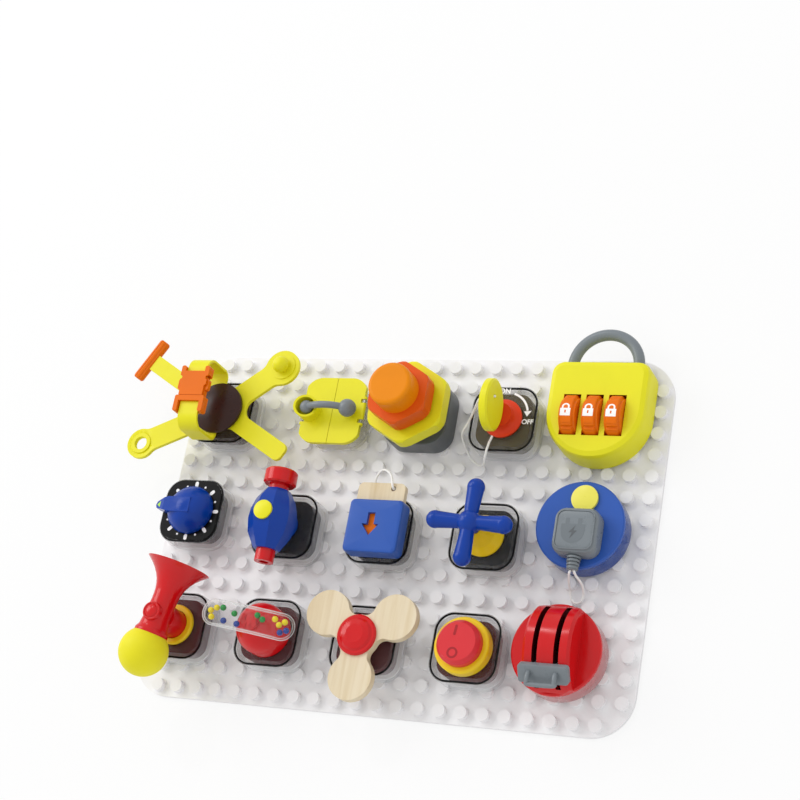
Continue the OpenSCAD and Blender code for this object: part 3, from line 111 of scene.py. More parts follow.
class Shader:
    """A node material with a Principled shader and short helpers."""

    def __init__(self, name):
        self.material = bpy.data.materials.new(name)
        self.material.use_nodes = True
        self.nodes = self.material.node_tree.nodes
        self.links = self.material.node_tree.links
        self.main = self.nodes["Principled BSDF"]
        self.where = self.nodes.new("ShaderNodeTexCoord").outputs["Object"]

    def put(self, **values):
        """Sets constants on the shader's own sockets."""
        for key, value in values.items():
            self.main.inputs[key.replace("_", " ")].default_value = value

    def to(self, output, socket):
        """Links an output to one of the shader's sockets."""
        self.links.new(output, self.main.inputs[socket])

    def noise(self, scale, detail=2.0, stretch=None, distortion=0.0):
        """Noise with features of about 1/scale mm; stretch scales it along X, Y and Z."""
        node = self.nodes.new("ShaderNodeTexNoise")
        node.inputs["Scale"].default_value = 1000.0 * scale
        node.inputs["Detail"].default_value = detail
        node.inputs["Distortion"].default_value = distortion
        source = self.where
        if stretch:
            mapping = self.nodes.new("ShaderNodeMapping")
            mapping.inputs["Scale"].default_value = stretch
            self.links.new(source, mapping.inputs["Vector"])
            source = mapping.outputs["Vector"]
        self.links.new(source, node.inputs["Vector"])
        return node.outputs["Fac"]

    def spread(self, value, low, high, start=0.3, end=0.7):
        """Turns values from start to end into values from low to high."""
        node = self.nodes.new("ShaderNodeMapRange")
        node.clamp = True
        node.inputs["From Min"].default_value = start
        node.inputs["From Max"].default_value = end
        node.inputs["To Min"].default_value = low
        node.inputs["To Max"].default_value = high
        self.links.new(value, node.inputs["Value"])
        return node.outputs["Result"]

    def colours(self, value, *stops):
        """A colour ramp; each stop is a place from 0 to 1 and a linear colour."""
        ramp = self.nodes.new("ShaderNodeValToRGB")
        elements = ramp.color_ramp.elements
        for element, (place, colour) in zip(elements, (stops[0], stops[-1])):
            element.position = place
            element.color = (*colour, 1)
        for place, colour in stops[1:-1]:
            elements.new(place).color = (*colour, 1)
        self.links.new(value, ramp.inputs["Fac"])
        return ramp.outputs["Color"]

    def bump(self, value, strength, distance=0.0002):
        """Relief from a value; distance is its depth in metres."""
        node = self.nodes.new("ShaderNodeBump")
        node.inputs["Strength"].default_value = strength
        node.inputs["Distance"].default_value = distance
        self.links.new(value, node.inputs["Height"])
        self.to(node.outputs["Normal"], "Normal")


def linear(code):
    """Linear colour of a screen colour written as six hex digits."""
    values = [int(code[i:i + 2], 16) / 255 for i in (0, 2, 4)]
    return tuple(v / 12.92 if v <= 0.04045 else ((v + 0.055) / 1.055) ** 2.4 for v in values)


def shade(colour, factor):
    """A colour made darker or lighter, kept between 0 and 1."""
    return tuple(min(1.0, max(0.0, c * factor)) for c in colour)


def plastic(name, code, rough=0.3, grain=0.03, vary=0.05, gloss=0.3):
    """Moulded plastic: faint flow marks in the colour, uneven gloss and a fine moulded grain."""
    s = Shader(name)
    colour = linear(code)
    flow = s.noise(0.03, 3.0, distortion=0.6)
    dark, light = shade(colour, 1 - vary), shade(colour, 1 + vary)
    s.to(s.colours(flow, (0.25, dark), (0.75, light)), "Base Color")
    s.to(s.spread(s.noise(0.12, 4.0), rough - 0.05, rough + 0.06), "Roughness")
    s.put(IOR=PLASTIC_IOR, Specular_IOR_Level=gloss)
    s.bump(s.noise(1.6, 2.0), grain)
    return s.material


def clear_plastic(name, code, face, edge, rough=0.08, start=0.2):
    """Clear plastic: light passes through its faces, while edges and slanted faces look milky.

    face and edge are its opacity there, and start is the slant at which it begins to rise.
    """
    s = Shader(name)
    colour = linear(code)
    s.to(s.colours(s.noise(0.04, 2.0), (0.3, shade(colour, 0.95)), (0.7, colour)), "Base Color")
    s.to(s.spread(s.noise(0.2, 3.0), rough, rough + 0.05), "Roughness")
    s.put(IOR=PLASTIC_IOR)
    weight = s.nodes.new("ShaderNodeLayerWeight")
    weight.inputs["Blend"].default_value = 0.45
    s.to(s.spread(weight.outputs["Facing"], face, edge, start, 0.95), "Alpha")
    s.bump(s.noise(0.6, 2.0), 0.02)
    return s.material


def wood(name, stretch):
    """Pale close-grained wood: long fibres, darker year lines and small pores."""
    s = Shader(name)
    fibre = s.noise(0.35, 6.0, stretch, 0.3)
    years = s.noise(0.09, 2.0, stretch, 0.8)
    pale = s.colours(
        fibre, (0.3, linear("D3BF98")), (0.5, linear("DECDAC")), (0.7, linear("E6D8BB")))
    lines = s.colours(
        years, (0.35, linear("C8B084")), (0.5, linear("DCCBA9")), (0.62, linear("E3D5B9")))
    mix = s.nodes.new("ShaderNodeMix")
    mix.data_type = "RGBA"
    mix.inputs["Factor"].default_value = 0.45
    s.links.new(pale, mix.inputs["A"])
    s.links.new(lines, mix.inputs["B"])
    s.to(mix.outputs["Result"], "Base Color")
    s.to(s.spread(fibre, 0.42, 0.6), "Roughness")
    s.bump(fibre, 0.12, 0.0003)
    return s.material


def string(name):
    """Twisted white cotton string."""
    s = Shader(name)
    wave = s.nodes.new("ShaderNodeTexWave")
    wave.inputs["Scale"].default_value = 900.0
    wave.inputs["Distortion"].default_value = 1.5
    wave.bands_direction = "DIAGONAL"
    s.links.new(s.where, wave.inputs["Vector"])
    strands = wave.outputs["Fac"]
    s.to(s.colours(strands, (0.2, linear("EEEDE8")), (0.8, linear("FFFFFF"))), "Base Color")
    s.put(Roughness=0.8, Sheen_Weight=0.3)
    s.bump(strands, 0.4)
    return s.material


def steel(name):
    """Drawn steel with a faintly uneven polish."""
    s = Shader(name)
    s.put(Metallic=1.0)
    dark, light = (0.5, 0.51, 0.52), (0.66, 0.67, 0.68)
    s.to(s.colours(s.noise(0.3, 3.0), (0.3, dark), (0.7, light)), "Base Color")
    s.to(s.spread(s.noise(0.5, 3.0), 0.2, 0.34), "Roughness")
    return s.material


# Name, screen colour, roughness, grain, variation of the colour, gloss
WHITE = plastic("white_plastic", "F4F3F4", 0.42, 0.03, 0.012)
YELLOW = plastic("yellow_plastic", "E8E21A", 0.4, 0.05, 0.03)
GOLD = plastic("gold_plastic", "EBC81A", 0.34, 0.04, 0.05)
PALE_YELLOW = plastic("pale_yellow_plastic", "F0E860", 0.3, 0.03, 0.04)
ORANGE = plastic("orange_plastic", "E66E06", 0.32, 0.04, 0.05, 0.16)
DEEP_ORANGE = plastic("deep_orange_plastic", "DC3E18", 0.34, 0.04, 0.05, 0.2)
HEX_ORANGE = plastic("red_orange_plastic", "DF5A14", 0.34, 0.04, 0.05, 0.16)
AMBER = plastic("amber_plastic", "EA8A06", 0.38, 0.04, 0.04, 0.16)
BLUE = plastic("blue_plastic", "053C9E", 0.2, 0.03, 0.06, 0.24)
MID_BLUE = plastic("mid_blue_plastic", "2A57AE", 0.36, 0.04, 0.04)
RED = plastic("red_plastic", "CE0C12", 0.18, 0.03, 0.05, 0.34)
PINK_RED = plastic("pink_red_plastic", "D62F36", 0.34, 0.04, 0.04)
GREY = plastic("grey_plastic", "7B8287", 0.28, 0.04, 0.05)
PLUG_ICON = plastic("dull_grey_plastic", "70777C", 0.4, 0.04, 0.03)
DARK_GREY = plastic("dark_grey_plastic", "5D6164", 0.34, 0.04, 0.05)
BROWN = plastic("brown_plastic", "38221E", 0.3, 0.02, 0.08, 0.2)
BLACK = plastic("black_plastic", "0B0B0C", 0.25, 0.02, 0.1, 0.12)
BURGUNDY = plastic("burgundy_plastic", "4A0A10", 0.3, 0.02, 0.15, 0.15)
OLIVE = plastic("olive_plastic", "4A3F16", 0.32, 0.02, 0.12)
LIME = plastic("lime_plastic", "A8D83C", 0.3, 0.02, 0.04)
BEAD_GREEN = plastic("green_bead", "1F8B3D", 0.25, 0.02, 0.05)
BEAD_BLUE = plastic("blue_bead", "25408F", 0.25, 0.02, 0.05)
BEAD_YELLOW = plastic("yellow_bead", "E8D21A", 0.25, 0.02, 0.05)
RUBBER = plastic("yellow_rubber", "E9E01A", 0.55, 0.08, 0.03)
PRINT = plastic("white_print", "FBFBFA", 0.45, 0.02, 0.01)
RED_PRINT = plastic("red_print", "A31A22", 0.4, 0.02, 0.02)
# Name, screen colour, opacity of faces and of edges
CLEAR = clear_plastic("clear_plastic", "D9DBDD", 0.03, 0.5)
CLEAR_WARM = clear_plastic("clear_warm_plastic", "E6E3D6", 0.12, 0.6)
CLEAR_BLUE = clear_plastic("clear_blue_plastic", "2C4F9E", 0.62, 0.9)
CLEAR_RED = clear_plastic("clear_red_plastic", "D89A9C", 0.3, 0.7)
# The capsule's near-white edges, nearly opaque, are partly the clear plastic's milky edge and
# partly painted highlight along its rounded rim
CAPSULE = clear_plastic("capsule_plastic", "FAFBFB", 0.012, 0.95, 0.04, 0.34)
WOOD = wood("light_wood", (1.0, 0.06, 1.0))
STRING = string("white_string")
STEEL = steel("steel")

# Main material of each CAD node, or of the piece that stands for it
LOOKS = {
    "base_plate": WHITE, "module_feet": WHITE, "clear_shells": CLEAR, "shell_rims": BLACK,
    "inner_housings": BLACK, "strap_star": YELLOW, "toggle_bar": ORANGE, "belt_upper": YELLOW,
    "belt_lower": YELLOW, "buckle_socket": ORANGE, "buckle_tongue": ORANGE, "strap_badge": BROWN,
    "latch_box": CLEAR_WARM, "latch_door_left": YELLOW, "latch_door_right": YELLOW,
    "latch_hook": GREY, "latch_pins": STEEL, "bolt_base": DARK_GREY, "yellow_nut": YELLOW,
    "orange_bolt": AMBER, "key_barrel": DEEP_ORANGE, "key": YELLOW, "padlock_body": YELLOW,
    "shackle": GREY, "code_wheel_left": ORANGE, "code_wheel_middle": ORANGE,
    "code_wheel_right": ORANGE, "code_wheel_axle": STEEL, "dial_face": BLACK, "dial_knob": BLUE,
    "dial_pointer": LIME, "tap_body": BLUE, "tap_knob": RED, "tap_outlet": RED,
    "tap_button": YELLOW, "card_holder": MID_BLUE, "arrow_plate": ORANGE, "wooden_card": WOOD,
    "cross_cone": GOLD, "cross_handle": BLUE, "charger_drum": MID_BLUE,
    "charger_button": PALE_YELLOW, "charger_plug": GREY, "horn_ring": GOLD, "horn_body": RED,
    "horn_ball": RUBBER, "rattle_dome": RED, "rattle_capsule": CAPSULE, "rattle_beads": LIME,
    "spinner_wood": WOOD, "spinner_cap": RED, "button_ring": GOLD, "red_button": PINK_RED,
    "button_spring": STEEL, "throttle_drum": RED, "throttle_handle": GREY, "throttle_axle": STEEL,
}

# ---------------------------------------------------------------- CAD nodes

# Radius of the rounded edges of each moulded part
SOFT_EDGES = {
    "base_plate": 0.4, "clear_shells": 0.5, "inner_housings": 1.2, "strap_star": 0.5,
    "belt_upper": 0.3, "buckle_socket": 0.5, "buckle_tongue": 0.5, "latch_door_left": 0.8,
    "latch_door_right": 0.8, "bolt_base": 0.9, "yellow_nut": 1.0, "orange_bolt": 1.0,
    "key_barrel": 0.5, "padlock_body": 0.8, "dial_knob": 0.7, "tap_body": 0.9, "tap_outlet": 0.5,
    "card_holder": 0.4, "wooden_card": 0.6, "charger_drum": 0.6, "charger_plug": 1.2,
    "horn_body": 0.5, "rattle_dome": 0.5, "spinner_wood": 1.8, "throttle_drum": 0.8,
}
HARD_EDGE = math.radians(24)   # edges that turn more than this are rounded
WELD_REACH = 0.00001           # metres


def soften(piece, width):
    """Rounds the hard edges of a part without touching its own mesh."""
    piece.modifiers.new("weld", "WELD").merge_threshold = WELD_REACH
    bevel = piece.modifiers.new("bevel", "BEVEL")
    bevel.width = width * MM
    bevel.segments = 3
    bevel.limit_method = "ANGLE"
    bevel.angle_limit = HARD_EDGE
    piece.modifiers.new("normals", "WEIGHTED_NORMAL")


def dress(name, material):
    """Gives a CAD node one material and smooth shading."""
    piece = NODES[name]
    piece.data.materials.clear()
    piece.data.materials.append(material)
    for face in piece.data.polygons:
        face.material_index = 0
        face.use_smooth = True


def paint(name, material, chosen):
    """Gives the faces of a node that chosen(centre in mm) picks a material of their own."""
    piece = NODES[name]
    piece.data.materials.append(material)
    index = len(piece.data.materials) - 1
    for face in piece.data.polygons:
        if chosen(face.center / MM):
            face.material_index = index


BOX_REACH, DRUM_REACH = 30.0, 34.0   # half widths that take in a module's box or drum


def near(place, reach=BOX_REACH):
    """A test for points within reach of a module's centre."""
    centre = spot(*place) / MM
    return lambda p: abs(p.x - centre.x) < reach and abs(p.y - centre.y) < reach


# The padlock's code wheels: pitch, height of the axle, and place from the padlock's centre
WHEEL_PITCH, AXLE_Z, WHEELS_X, WHEELS_Y = 16.5, 21.5, -0.7, -5.0
WINDOW_HALF_X, WINDOW_HALF_Y, WINDOW_Z = 6.6, 16.9, (6, 27.6)   # just past the windows' walls
BOLT_HEX_TOP = 61.0                  # top of the bolt's hexagonal head
SLOT_X, SLOT_T = 7.5, 4.2            # the throttle's slots: distance from its centre and width
SLOT_Y, SLOT_REACH, SLOT_LOW = (-18, 27.9), 30, 6   # the part of them that gets painted shade


def in_slot_shade(p):
    """True inside the throttle's slots, where little light falls; their faces get painted shade in
    dark burgundy.
    """
    x, y = (p - spot(*THROTTLE_AT) / MM).xy
    in_width = abs(abs(x) - SLOT_X) < SLOT_T / 2
    in_length = SLOT_Y[0] < y < SLOT_Y[1] and x * x + y * y < SLOT_REACH ** 2
    return in_width and in_length and p.z > PLATE + SLOT_LOW


def in_window_shade(p):
    """True on the inner walls of the padlock's three windows, which get painted shade: orange, so
    that the shaded gaps round the wheels look dark orange.
    """
    x, y = (p - spot(*PADLOCK_AT) / MM).xy
    side = min(abs(x - WHEELS_X - i * WHEEL_PITCH) for i in (-1, 0, 1))
    in_height = PLATE + WINDOW_Z[0] < p.z < PLATE + WINDOW_Z[1]
    return side < WINDOW_HALF_X and abs(y - WHEELS_Y) < WINDOW_HALF_Y and in_height


CAPSULE_TURN = -7.4   # turn of the rattle's capsule about Z, degrees
BEAD_REACH = 2.4      # half width that takes in a bead

# Places of the beads of each colour, along and across the capsule
BEADS = (
    (BEAD_YELLOW, [(-31.4, 1), (-29.4, -3.4), (-27.4, 3.6), (20.4, 4.6), (24.8, 1.2), (28.6, 3.9)]),
    (BEAD_GREEN, [(-22.4, 4.6), (-12.2, 2.2), (6, 4.6), (10.8, 2.4)]),
    (BEAD_BLUE, [(-19, -4.4), (-8, -4.6), (27.2, -3.8), (31.6, -1.6)]),
)


def paint_beads():
    """Gives each bead of the rattle its colour."""
    along = Matrix.Rotation(math.radians(CAPSULE_TURN), 3, "Z")
    centre = spot(*RATTLE_AT) / MM
    for material, places in BEADS:
        beads = [centre + along @ Vector((x, y, 0)) for x, y in places]
        paint("rattle_beads", material,
              lambda p: any((p.xy - bead.xy).length < BEAD_REACH for bead in beads))


for node_name, look in LOOKS.items():
    dress(node_name, look)
for node_name, edge_radius in SOFT_EDGES.items():
    soften(NODES[node_name], edge_radius)
for module in (HORN_AT, RATTLE_AT, SPINNER_AT, BUTTON_AT):
    paint("inner_housings", BURGUNDY, near(module))
paint("clear_shells", CLEAR_BLUE, near(CHARGER_AT, DRUM_REACH))
paint("clear_shells", CLEAR_RED, near(THROTTLE_AT, DRUM_REACH))
paint("inner_housings", BROWN, near(STRAPS_AT))
paint("inner_housings", OLIVE, near(KEY_AT))
paint("orange_bolt", HEX_ORANGE, lambda p: p.z < PLATE + BOLT_HEX_TOP + 0.2)
# painted shade: the walls inside the throttle's slots are coloured dark burgundy where they lie in
# shadow
paint("throttle_drum", BURGUNDY, in_slot_shade)
# painted shade: the window walls are coloured orange so the shaded gaps round the code wheels look
# dark orange
paint("padlock_body", ORANGE, in_window_shade)
paint_beads()

# ---------------------------------------------------------------- shapes


def add_mesh(name, bm, body, material, smooth=True):
    """A piece from a bmesh, attached to its body if one is given."""
    mesh = bpy.data.meshes.new(name)
    bm.to_mesh(mesh)
    bm.free()
    piece = bpy.data.objects.new(name, mesh)
    bpy.context.scene.collection.objects.link(piece)
    mesh.materials.append(material)
    for face in mesh.polygons:
        face.use_smooth = smooth
    if body:
        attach(piece, body)
    return piece


def skin(bm, rings):
    """Faces between each ring of points and the next; a ring may be one point."""
    for low, high in zip(rings, rings[1:]):
        count = max(len(low), len(high))
        for k in range(count):
            j = (k + 1) % count
            corners = (low[k % len(low)], low[j % len(low)],
                       high[j % len(high)], high[k % len(high)])
            bm.faces.new(list(dict.fromkeys(corners)))


def solid(bm, rings):
    """A skin over rings of points, closed at both ends."""
    skin(bm, rings)
    bm.faces.new(list(reversed(rings[0])))
    bm.faces.new(rings[-1])


def point_outwards(bm):
    """Turns the faces of a closed shape outwards."""
    bmesh.ops.recalc_face_normals(bm, faces=bm.faces)


def flat_faces_stay_flat(piece):
    """Smooth shading that leaves large flat faces flat."""
    piece.modifiers.new("normals", "WEIGHTED_NORMAL").keep_sharp = True


def extruded(bm, outline, low, high, place):
    """A flat shape: an outline in mm, from height low to high, moved by a matrix."""
    solid(bm, [[bm.verts.new(place @ (Vector((x, y, z)) * MM)) for x, y in outline]
               for z in (low, high)])


def lathe(name, centre, body, material, profile, count=64):
    """A turned piece: profile points (radius, height) in mm round a vertical axis."""
    bm = bmesh.new()
    rings = []
    for r, z in profile:
        turns = [2 * math.pi * k / count for k in range(count if r else 1)]
        rings.append([bm.verts.new(centre + Vector((r * math.cos(a), r * math.sin(a), z)) * MM)
                      for a in turns])
    skin(bm, rings)
    point_outwards(bm)
    add_mesh(name, bm, body, material)


def smooth_path(points, steps=5):
    """Points of a curve that runs through the given ones (Catmull-Rom)."""
    padded = [points[0]] + points + [points[-1]]
    line = []
    for a, b, c, d in zip(padded, padded[1:], padded[2:], padded[3:]):
        for k in range(steps):
            t = k / steps
            line.append(0.5 * ((2 * b) + (c - a) * t + (2 * a - 5 * b + 4 * c - d) * t * t
                               + (3 * b - a - 3 * c + d) * t * t * t))
    return line + [points[-1]]


STRANDS, LAY_LENGTH = 3, 0.9 * MM   # strands of a string, and its length per radian of twist


def tube(bm, line, radius, sides=12, lay=0.0):
    """A round tube along a line; lay gives it the ridges of a twisted string."""
    normal = Vector((0.0, 0.3, 1.0))
    rings = []
    travelled = 0.0
    for i, p in enumerate(line):
        tangent = (line[min(i + 1, len(line) - 1)] - line[max(i - 1, 0)]).normalized()
        normal = (normal - tangent * normal.dot(tangent)).normalized()
        side = tangent.cross(normal)
        if i:
            travelled += (p - line[i - 1]).length
        ring = []
        for k in range(sides):
            a = 2 * math.pi * k / sides
            r = radius * (1 - lay + lay * math.cos(STRANDS * a + travelled / LAY_LENGTH))
            ring.append(bm.verts.new(p + (normal * math.cos(a) + side * math.sin(a)) * r))
        rings.append(ring)
    solid(bm, rings)


def arc(cx, cy, r, start, end, steps=16):
    """Points of an arc from angle start to end, in degrees."""
    turns = [math.radians(start + (end - start) * i / steps) for i in range(steps + 1)]
    return [(cx + r * math.cos(a), cy + r * math.sin(a)) for a in turns]


def band(start, end, r_out, r_in, cx, cy, steps=24):
    """Outline of a ring's part from angle start to end."""
    return arc(cx, cy, r_out, start, end, steps) + arc(cx, cy, r_in, end, start, steps)


def rounded_bar(length, width, steps=8):
    """Outline of a bar along X with round ends, centred on the origin."""
    half = (length - width) / 2
    return arc(half, 0, width / 2, -90, 90, steps) + arc(-half, 0, width / 2, 90, 270, steps)


def rounded_box(cx, cy, half_x, half_y, r, steps=8):
    """Outline of a rectangle with round corners."""
    line = []
    for sx, sy, start in ((1, 1, 0), (-1, 1, 90), (-1, -1, 180), (1, -1, 270)):
        line += arc(cx + sx * (half_x - r), cy + sy * (half_y - r), r, start, start + 90, steps)
    return line


def turned(outline, angle, dx=0.0, dy=0.0):
    """An outline turned by an angle in degrees, then moved."""
    c, s = math.cos(math.radians(angle)), math.sin(math.radians(angle))
    return [(x * c - y * s + dx, x * s + y * c + dy) for x, y in outline]


def on_circle(r, angle):
    """The point at an angle in degrees on a circle round the origin."""
    return r * math.cos(math.radians(angle)), r * math.sin(math.radians(angle))


def dip(off, depth, width):
    """Depth of a soft-edged groove at a distance from its middle."""
    return depth * math.exp(-(off / width) ** 2)


# ---------------------------------------------------------------- pieces that stand for CAD nodes


def copy_of(node, name):
    """A piece that starts as a copy of a CAD node's mesh, and stands for the node."""
    piece = bpy.data.objects.new(name, NODES[node].data.copy())
    bpy.context.scene.collection.objects.link(piece)
    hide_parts(node)
    return piece


def soft_belt():
    """A copy of the belt's lower half with rounded edges, which stands for it."""
    belt = copy_of("belt_lower", "belt_of_tongue")
    soften(belt, 0.3)
    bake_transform(belt)


WHEELS = {"code_wheel_left": -1, "code_wheel_middle": 0, "code_wheel_right": 1}
WHEEL_HALF, WHEEL_BORE, FLANGE = 5.95, 2.1, 13.9   # half width, radii of bore and flanges
PAD_CIRCLE, PAD_OFFSET = 22.0, 6.6   # radius of a pad's crown, its centre's distance off the axle
PAD_REACH = 16.3                     # greatest radius of a pad

# A wheel's half, as (place on the axle, radius, whether that radius counts from the pads)
WHEEL_SIDE = [(-WHEEL_HALF, WHEEL_BORE, False), (-WHEEL_HALF, 13.0, False),
              (-WHEEL_HALF, 13.5, False), (-5.5, FLANGE, False), (-4.4, FLANGE, False),
              (-4.2, -0.9, True), (-3.7, -0.3, True), (-3.2, 0.0, True)]


def wheel_centre(index):
    """Centre of a code wheel in metres."""
    return spot(*PADLOCK_AT, AXLE_Z) + Vector((WHEELS_X + index * WHEEL_PITCH, WHEELS_Y, 0)) * MM


def pad_radius(angle):
    """Radius of a code wheel: four crowned pads, with a deep and two slight grooves between."""
    a = (angle + 45) % 90 - 45
    turn = math.radians(a)
    crown = (-PAD_OFFSET * math.cos(turn)
             + math.sqrt(PAD_CIRCLE ** 2 - (PAD_OFFSET * math.sin(turn)) ** 2))
    return min(crown, PAD_REACH) - dip(abs(a) - 45, 1.5, 3.4) - dip(abs(a) - 36, 0.5, 1.6)


def code_wheel(node, index, count=180):
    """A thumb wheel: a band of pads between two lower flanges, on the padlock's axle."""
    centre = wheel_centre(index)
    bm = bmesh.new()
    rings = []
    for x, r, on_pads in WHEEL_SIDE + [(-x, r, pads) for x, r, pads in reversed(WHEEL_SIDE)]:
        ring = []
        for k in range(count):
            angle = 360.0 * k / count
            y, z = on_circle(pad_radius(angle - 90) + r if on_pads else r, angle)
            ring.append(bm.verts.new(centre + Vector((x, y, z)) * MM))
        rings.append(ring)
    skin(bm, rings + rings[:1])
    point_outwards(bm)
    piece = add_mesh("thumb_" + node, bm, node, ORANGE)
    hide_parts(node)
    flat_faces_stay_flat(piece)


SIGN_R, SIGN_X = 15.4, -0.6          # radius that the padlock sign is laid out on, its middle
SIGN_RISE, SIGN_THICK = 0.04, 0.06   # how far it stands off the pad, its thickness


def lock_icon(node, index):
    """A small padlock printed on the top pad of a code wheel; it follows the pad's crown."""
    centre = wheel_centre(index)
    bm = bmesh.new()

    def point(x, y):
        a = math.atan2(y, SIGN_R)
        reach = pad_radius(math.degrees(-a)) + SIGN_RISE
        return bm.verts.new(centre + Vector((x, reach * math.sin(a), reach * math.cos(a))) * MM)

    def strip(left, right):
        for i in range(len(left) - 1):
            bm.faces.new([point(*p) for p in (left[i], right[i], right[i + 1], left[i + 1])])

    def upright(left, right, rows):
        strip([(SIGN_X + left, y) for y in rows], [(SIGN_X + right, y) for y in rows])

    low, high, half, keyhole = -4.4, 1.2, 3.7, 0.55
    rows = [low + (high - low) * i / 8 for i in range(9)]
    upright(-half, -keyhole, rows)
    upright(keyhole, half, rows)
    upright(-keyhole, keyhole, [y for y in rows if y <= -2.2])
    upright(-keyhole, keyhole, [y for y in rows if y >= -0.3])
    outer, inner, rise = 2.8, 1.6, 1.2
    strip(*(arc(SIGN_X, high + rise, r, 180, 0, 20) for r in (outer, inner)))
    for side in (-1, 1):
        upright(side * outer, side * inner, [high, high + rise])
    bmesh.ops.remove_doubles(bm, verts=bm.verts, dist=0.00001)
    point_outwards(bm)
    piece = add_mesh("icon_" + node, bm, node, PRINT, False)
    piece.modifiers.new("thickness", "SOLIDIFY").thickness = SIGN_THICK * MM


def horn_boss():
    """The round boss on the horn's tube, with its ring groove."""
    lathe("horn_boss", spot(*HORN_AT, 49.0), "horn", RED, [
        (7.0, 5.0), (7.0, 10.6), (6.7, 11.2), (6.1, 11.5), (5.6, 11.4), (5.3, 10.9), (5.0, 10.9),
        (4.7, 11.5), (3.6, 12.1), (2.0, 12.6), (0.0, 12.8)])


TOGGLE_TURN, TOGGLE_REACH, TOGGLE_Z = 150.3, 83.0, 27.5   # direction, distance and height
TOGGLE_HALF, TOGGLE_TALL = 18.0, 3.8    # half length and half height
TOGGLE_OUT, TOGGLE_IN = 3.8, 5.4        # half widths away from the strap and towards it
# Its rounded end, as (place along it, share of the full section), and its grooves
TOGGLE_END = [(TOGGLE_HALF, 0.72), (TOGGLE_HALF - 0.5, 0.88), (TOGGLE_HALF - 1.6, 1.0)]
TOGGLE_GROOVES, GROOVE_DEPTH, GROOVE_WIDTH = (-0.62, 0.05), 0.55, 0.075


def toggle_grip(count=96):
    """The ribbed toggle bar at the end of its strap: an oval bar with two grooves along its top."""
    centre = at(*STRAPS_AT, TOGGLE_Z, turned=TOGGLE_TURN)
    centre = centre @ Matrix.Translation((TOGGLE_REACH * MM, 0, 0))
    bm = bmesh.new()
    rings = []
    for y, share in [(-y, share) for y, share in TOGGLE_END] + TOGGLE_END[::-1]:
        ring = []
        for k in range(count):
            x, z = math.cos(2 * math.pi * k / count), math.sin(2 * math.pi * k / count)
            tall = TOGGLE_TALL * share
            if share == 1:
                tall -= sum(dip(x - g, GROOVE_DEPTH, GROOVE_WIDTH) for g in TOGGLE_GROOVES)
            x *= (TOGGLE_OUT if x > 0 else TOGGLE_IN) * share
            ring.append(bm.verts.new(centre @ (Vector((x, y, tall * z)) * MM)))
        rings.append(ring)
    solid(bm, rings)
    point_outwards(bm)
    piece = add_mesh("toggle_grip", bm, "board", ORANGE)
    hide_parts("toggle_bar")
    flat_faces_stay_flat(piece)


CAPSULE_LENGTH, CAPSULE_WIDTH, CAPSULE_WALL = 75.0, 19.5, 1.4
CAPSULE_LOW, CAPSULE_TOP = 50.8, 62.8   # heights of its underside and of its top's middle
CAPSULE_CROWN, CAPSULE_EDGE = 4.5, 5.2   # fall of the top towards the ends, rounding of edges


def capsule_skin(bm, inset, place, stations=33, layers=13):
    """One closed skin of the capsule, an oval with round edges and a crowned top; its faces."""
    first = len(bm.faces)
    rings = []
    for j in range(layers):
        a = math.pi * (j / (layers - 1) - 0.5)
        shrink = inset + CAPSULE_EDGE * (1 - math.cos(a))
        half_l, half_w = CAPSULE_LENGTH / 2 - shrink, CAPSULE_WIDTH / 2 - shrink
        side = []
        for i in range(stations):
            x = -half_l * math.cos(math.pi * i / (stations - 1))
            past = max(0.0, abs(x) - (half_l - half_w))
            y = math.sqrt(max(0.0, half_w ** 2 - past ** 2))
            top = CAPSULE_TOP - CAPSULE_CROWN * (x / (CAPSULE_LENGTH / 2)) ** 2
            middle, tall = (CAPSULE_LOW + top) / 2, (top - CAPSULE_LOW) / 2 - inset
            side.append((x, y, middle + tall * math.sin(a)))
        ring = side + [(x, -y, z) for x, y, z in reversed(side[1:-1])]
        rings.append([bm.verts.new(place @ (Vector(p) * MM)) for p in ring])
    skin(bm, rings)
    count = len(rings[0])
    for ring in (rings[0], rings[-1]):
        for i in range(stations - 1):
            opposite, beside = ring[(count - i - 1) % count], ring[(count - i) % count]
            bm.faces.new(list(dict.fromkeys((ring[i], ring[i + 1], opposite, beside))))
    bm.faces.ensure_lookup_table()
    return bm.faces[first:]


def crowned_capsule():
    """The clear bead capsule with its wall: an outer skin, and an inner one that faces inwards."""
    place = at(*RATTLE_AT, 0, turned=CAPSULE_TURN)
    bm = bmesh.new()
    for inset in (0.0, CAPSULE_WALL):
        faces = capsule_skin(bm, inset, place)
        bmesh.ops.recalc_face_normals(bm, faces=faces)
    bmesh.ops.reverse_faces(bm, faces=faces)
    piece = add_mesh("crowned_capsule", bm, "rattle", CAPSULE)
    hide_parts("rattle_capsule")


KNOB_R, KNOB_NECK, KNOB_LOW = 6.7, 5.4, -2.6   # radii of the head and of its neck, underside


def hook_knob():
    """The round head over the hook's pivot."""
    pivot = spot(*LATCH_AT) + Vector((15.6, -1.0, 31.0)) * MM
    head = [on_circle(KNOB_R, a) for a in range(-20, 90, 7)]
    lathe("hook_knob", pivot, "latch_hook", GREY,
          [(0, KNOB_LOW), (KNOB_NECK, KNOB_LOW)] + head + [(0, KNOB_R)])


def soft_spring():
    """A copy of the button's spring, on the board with a mesh of its own."""
    spring = copy_of("button_spring", "spring_of_button")
    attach(spring, "board")
    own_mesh(spring)


ARCH_Z, HANDLE_REST = 12.0, 37.0   # height of the handle's axle, its angle at rest in degrees
BAR_TOP = 37.5                     # distance of its bar's outer face from the axle
PULL_HALF, PULL_R = 9.4, 1.55      # half width of the pull, radius of its rod


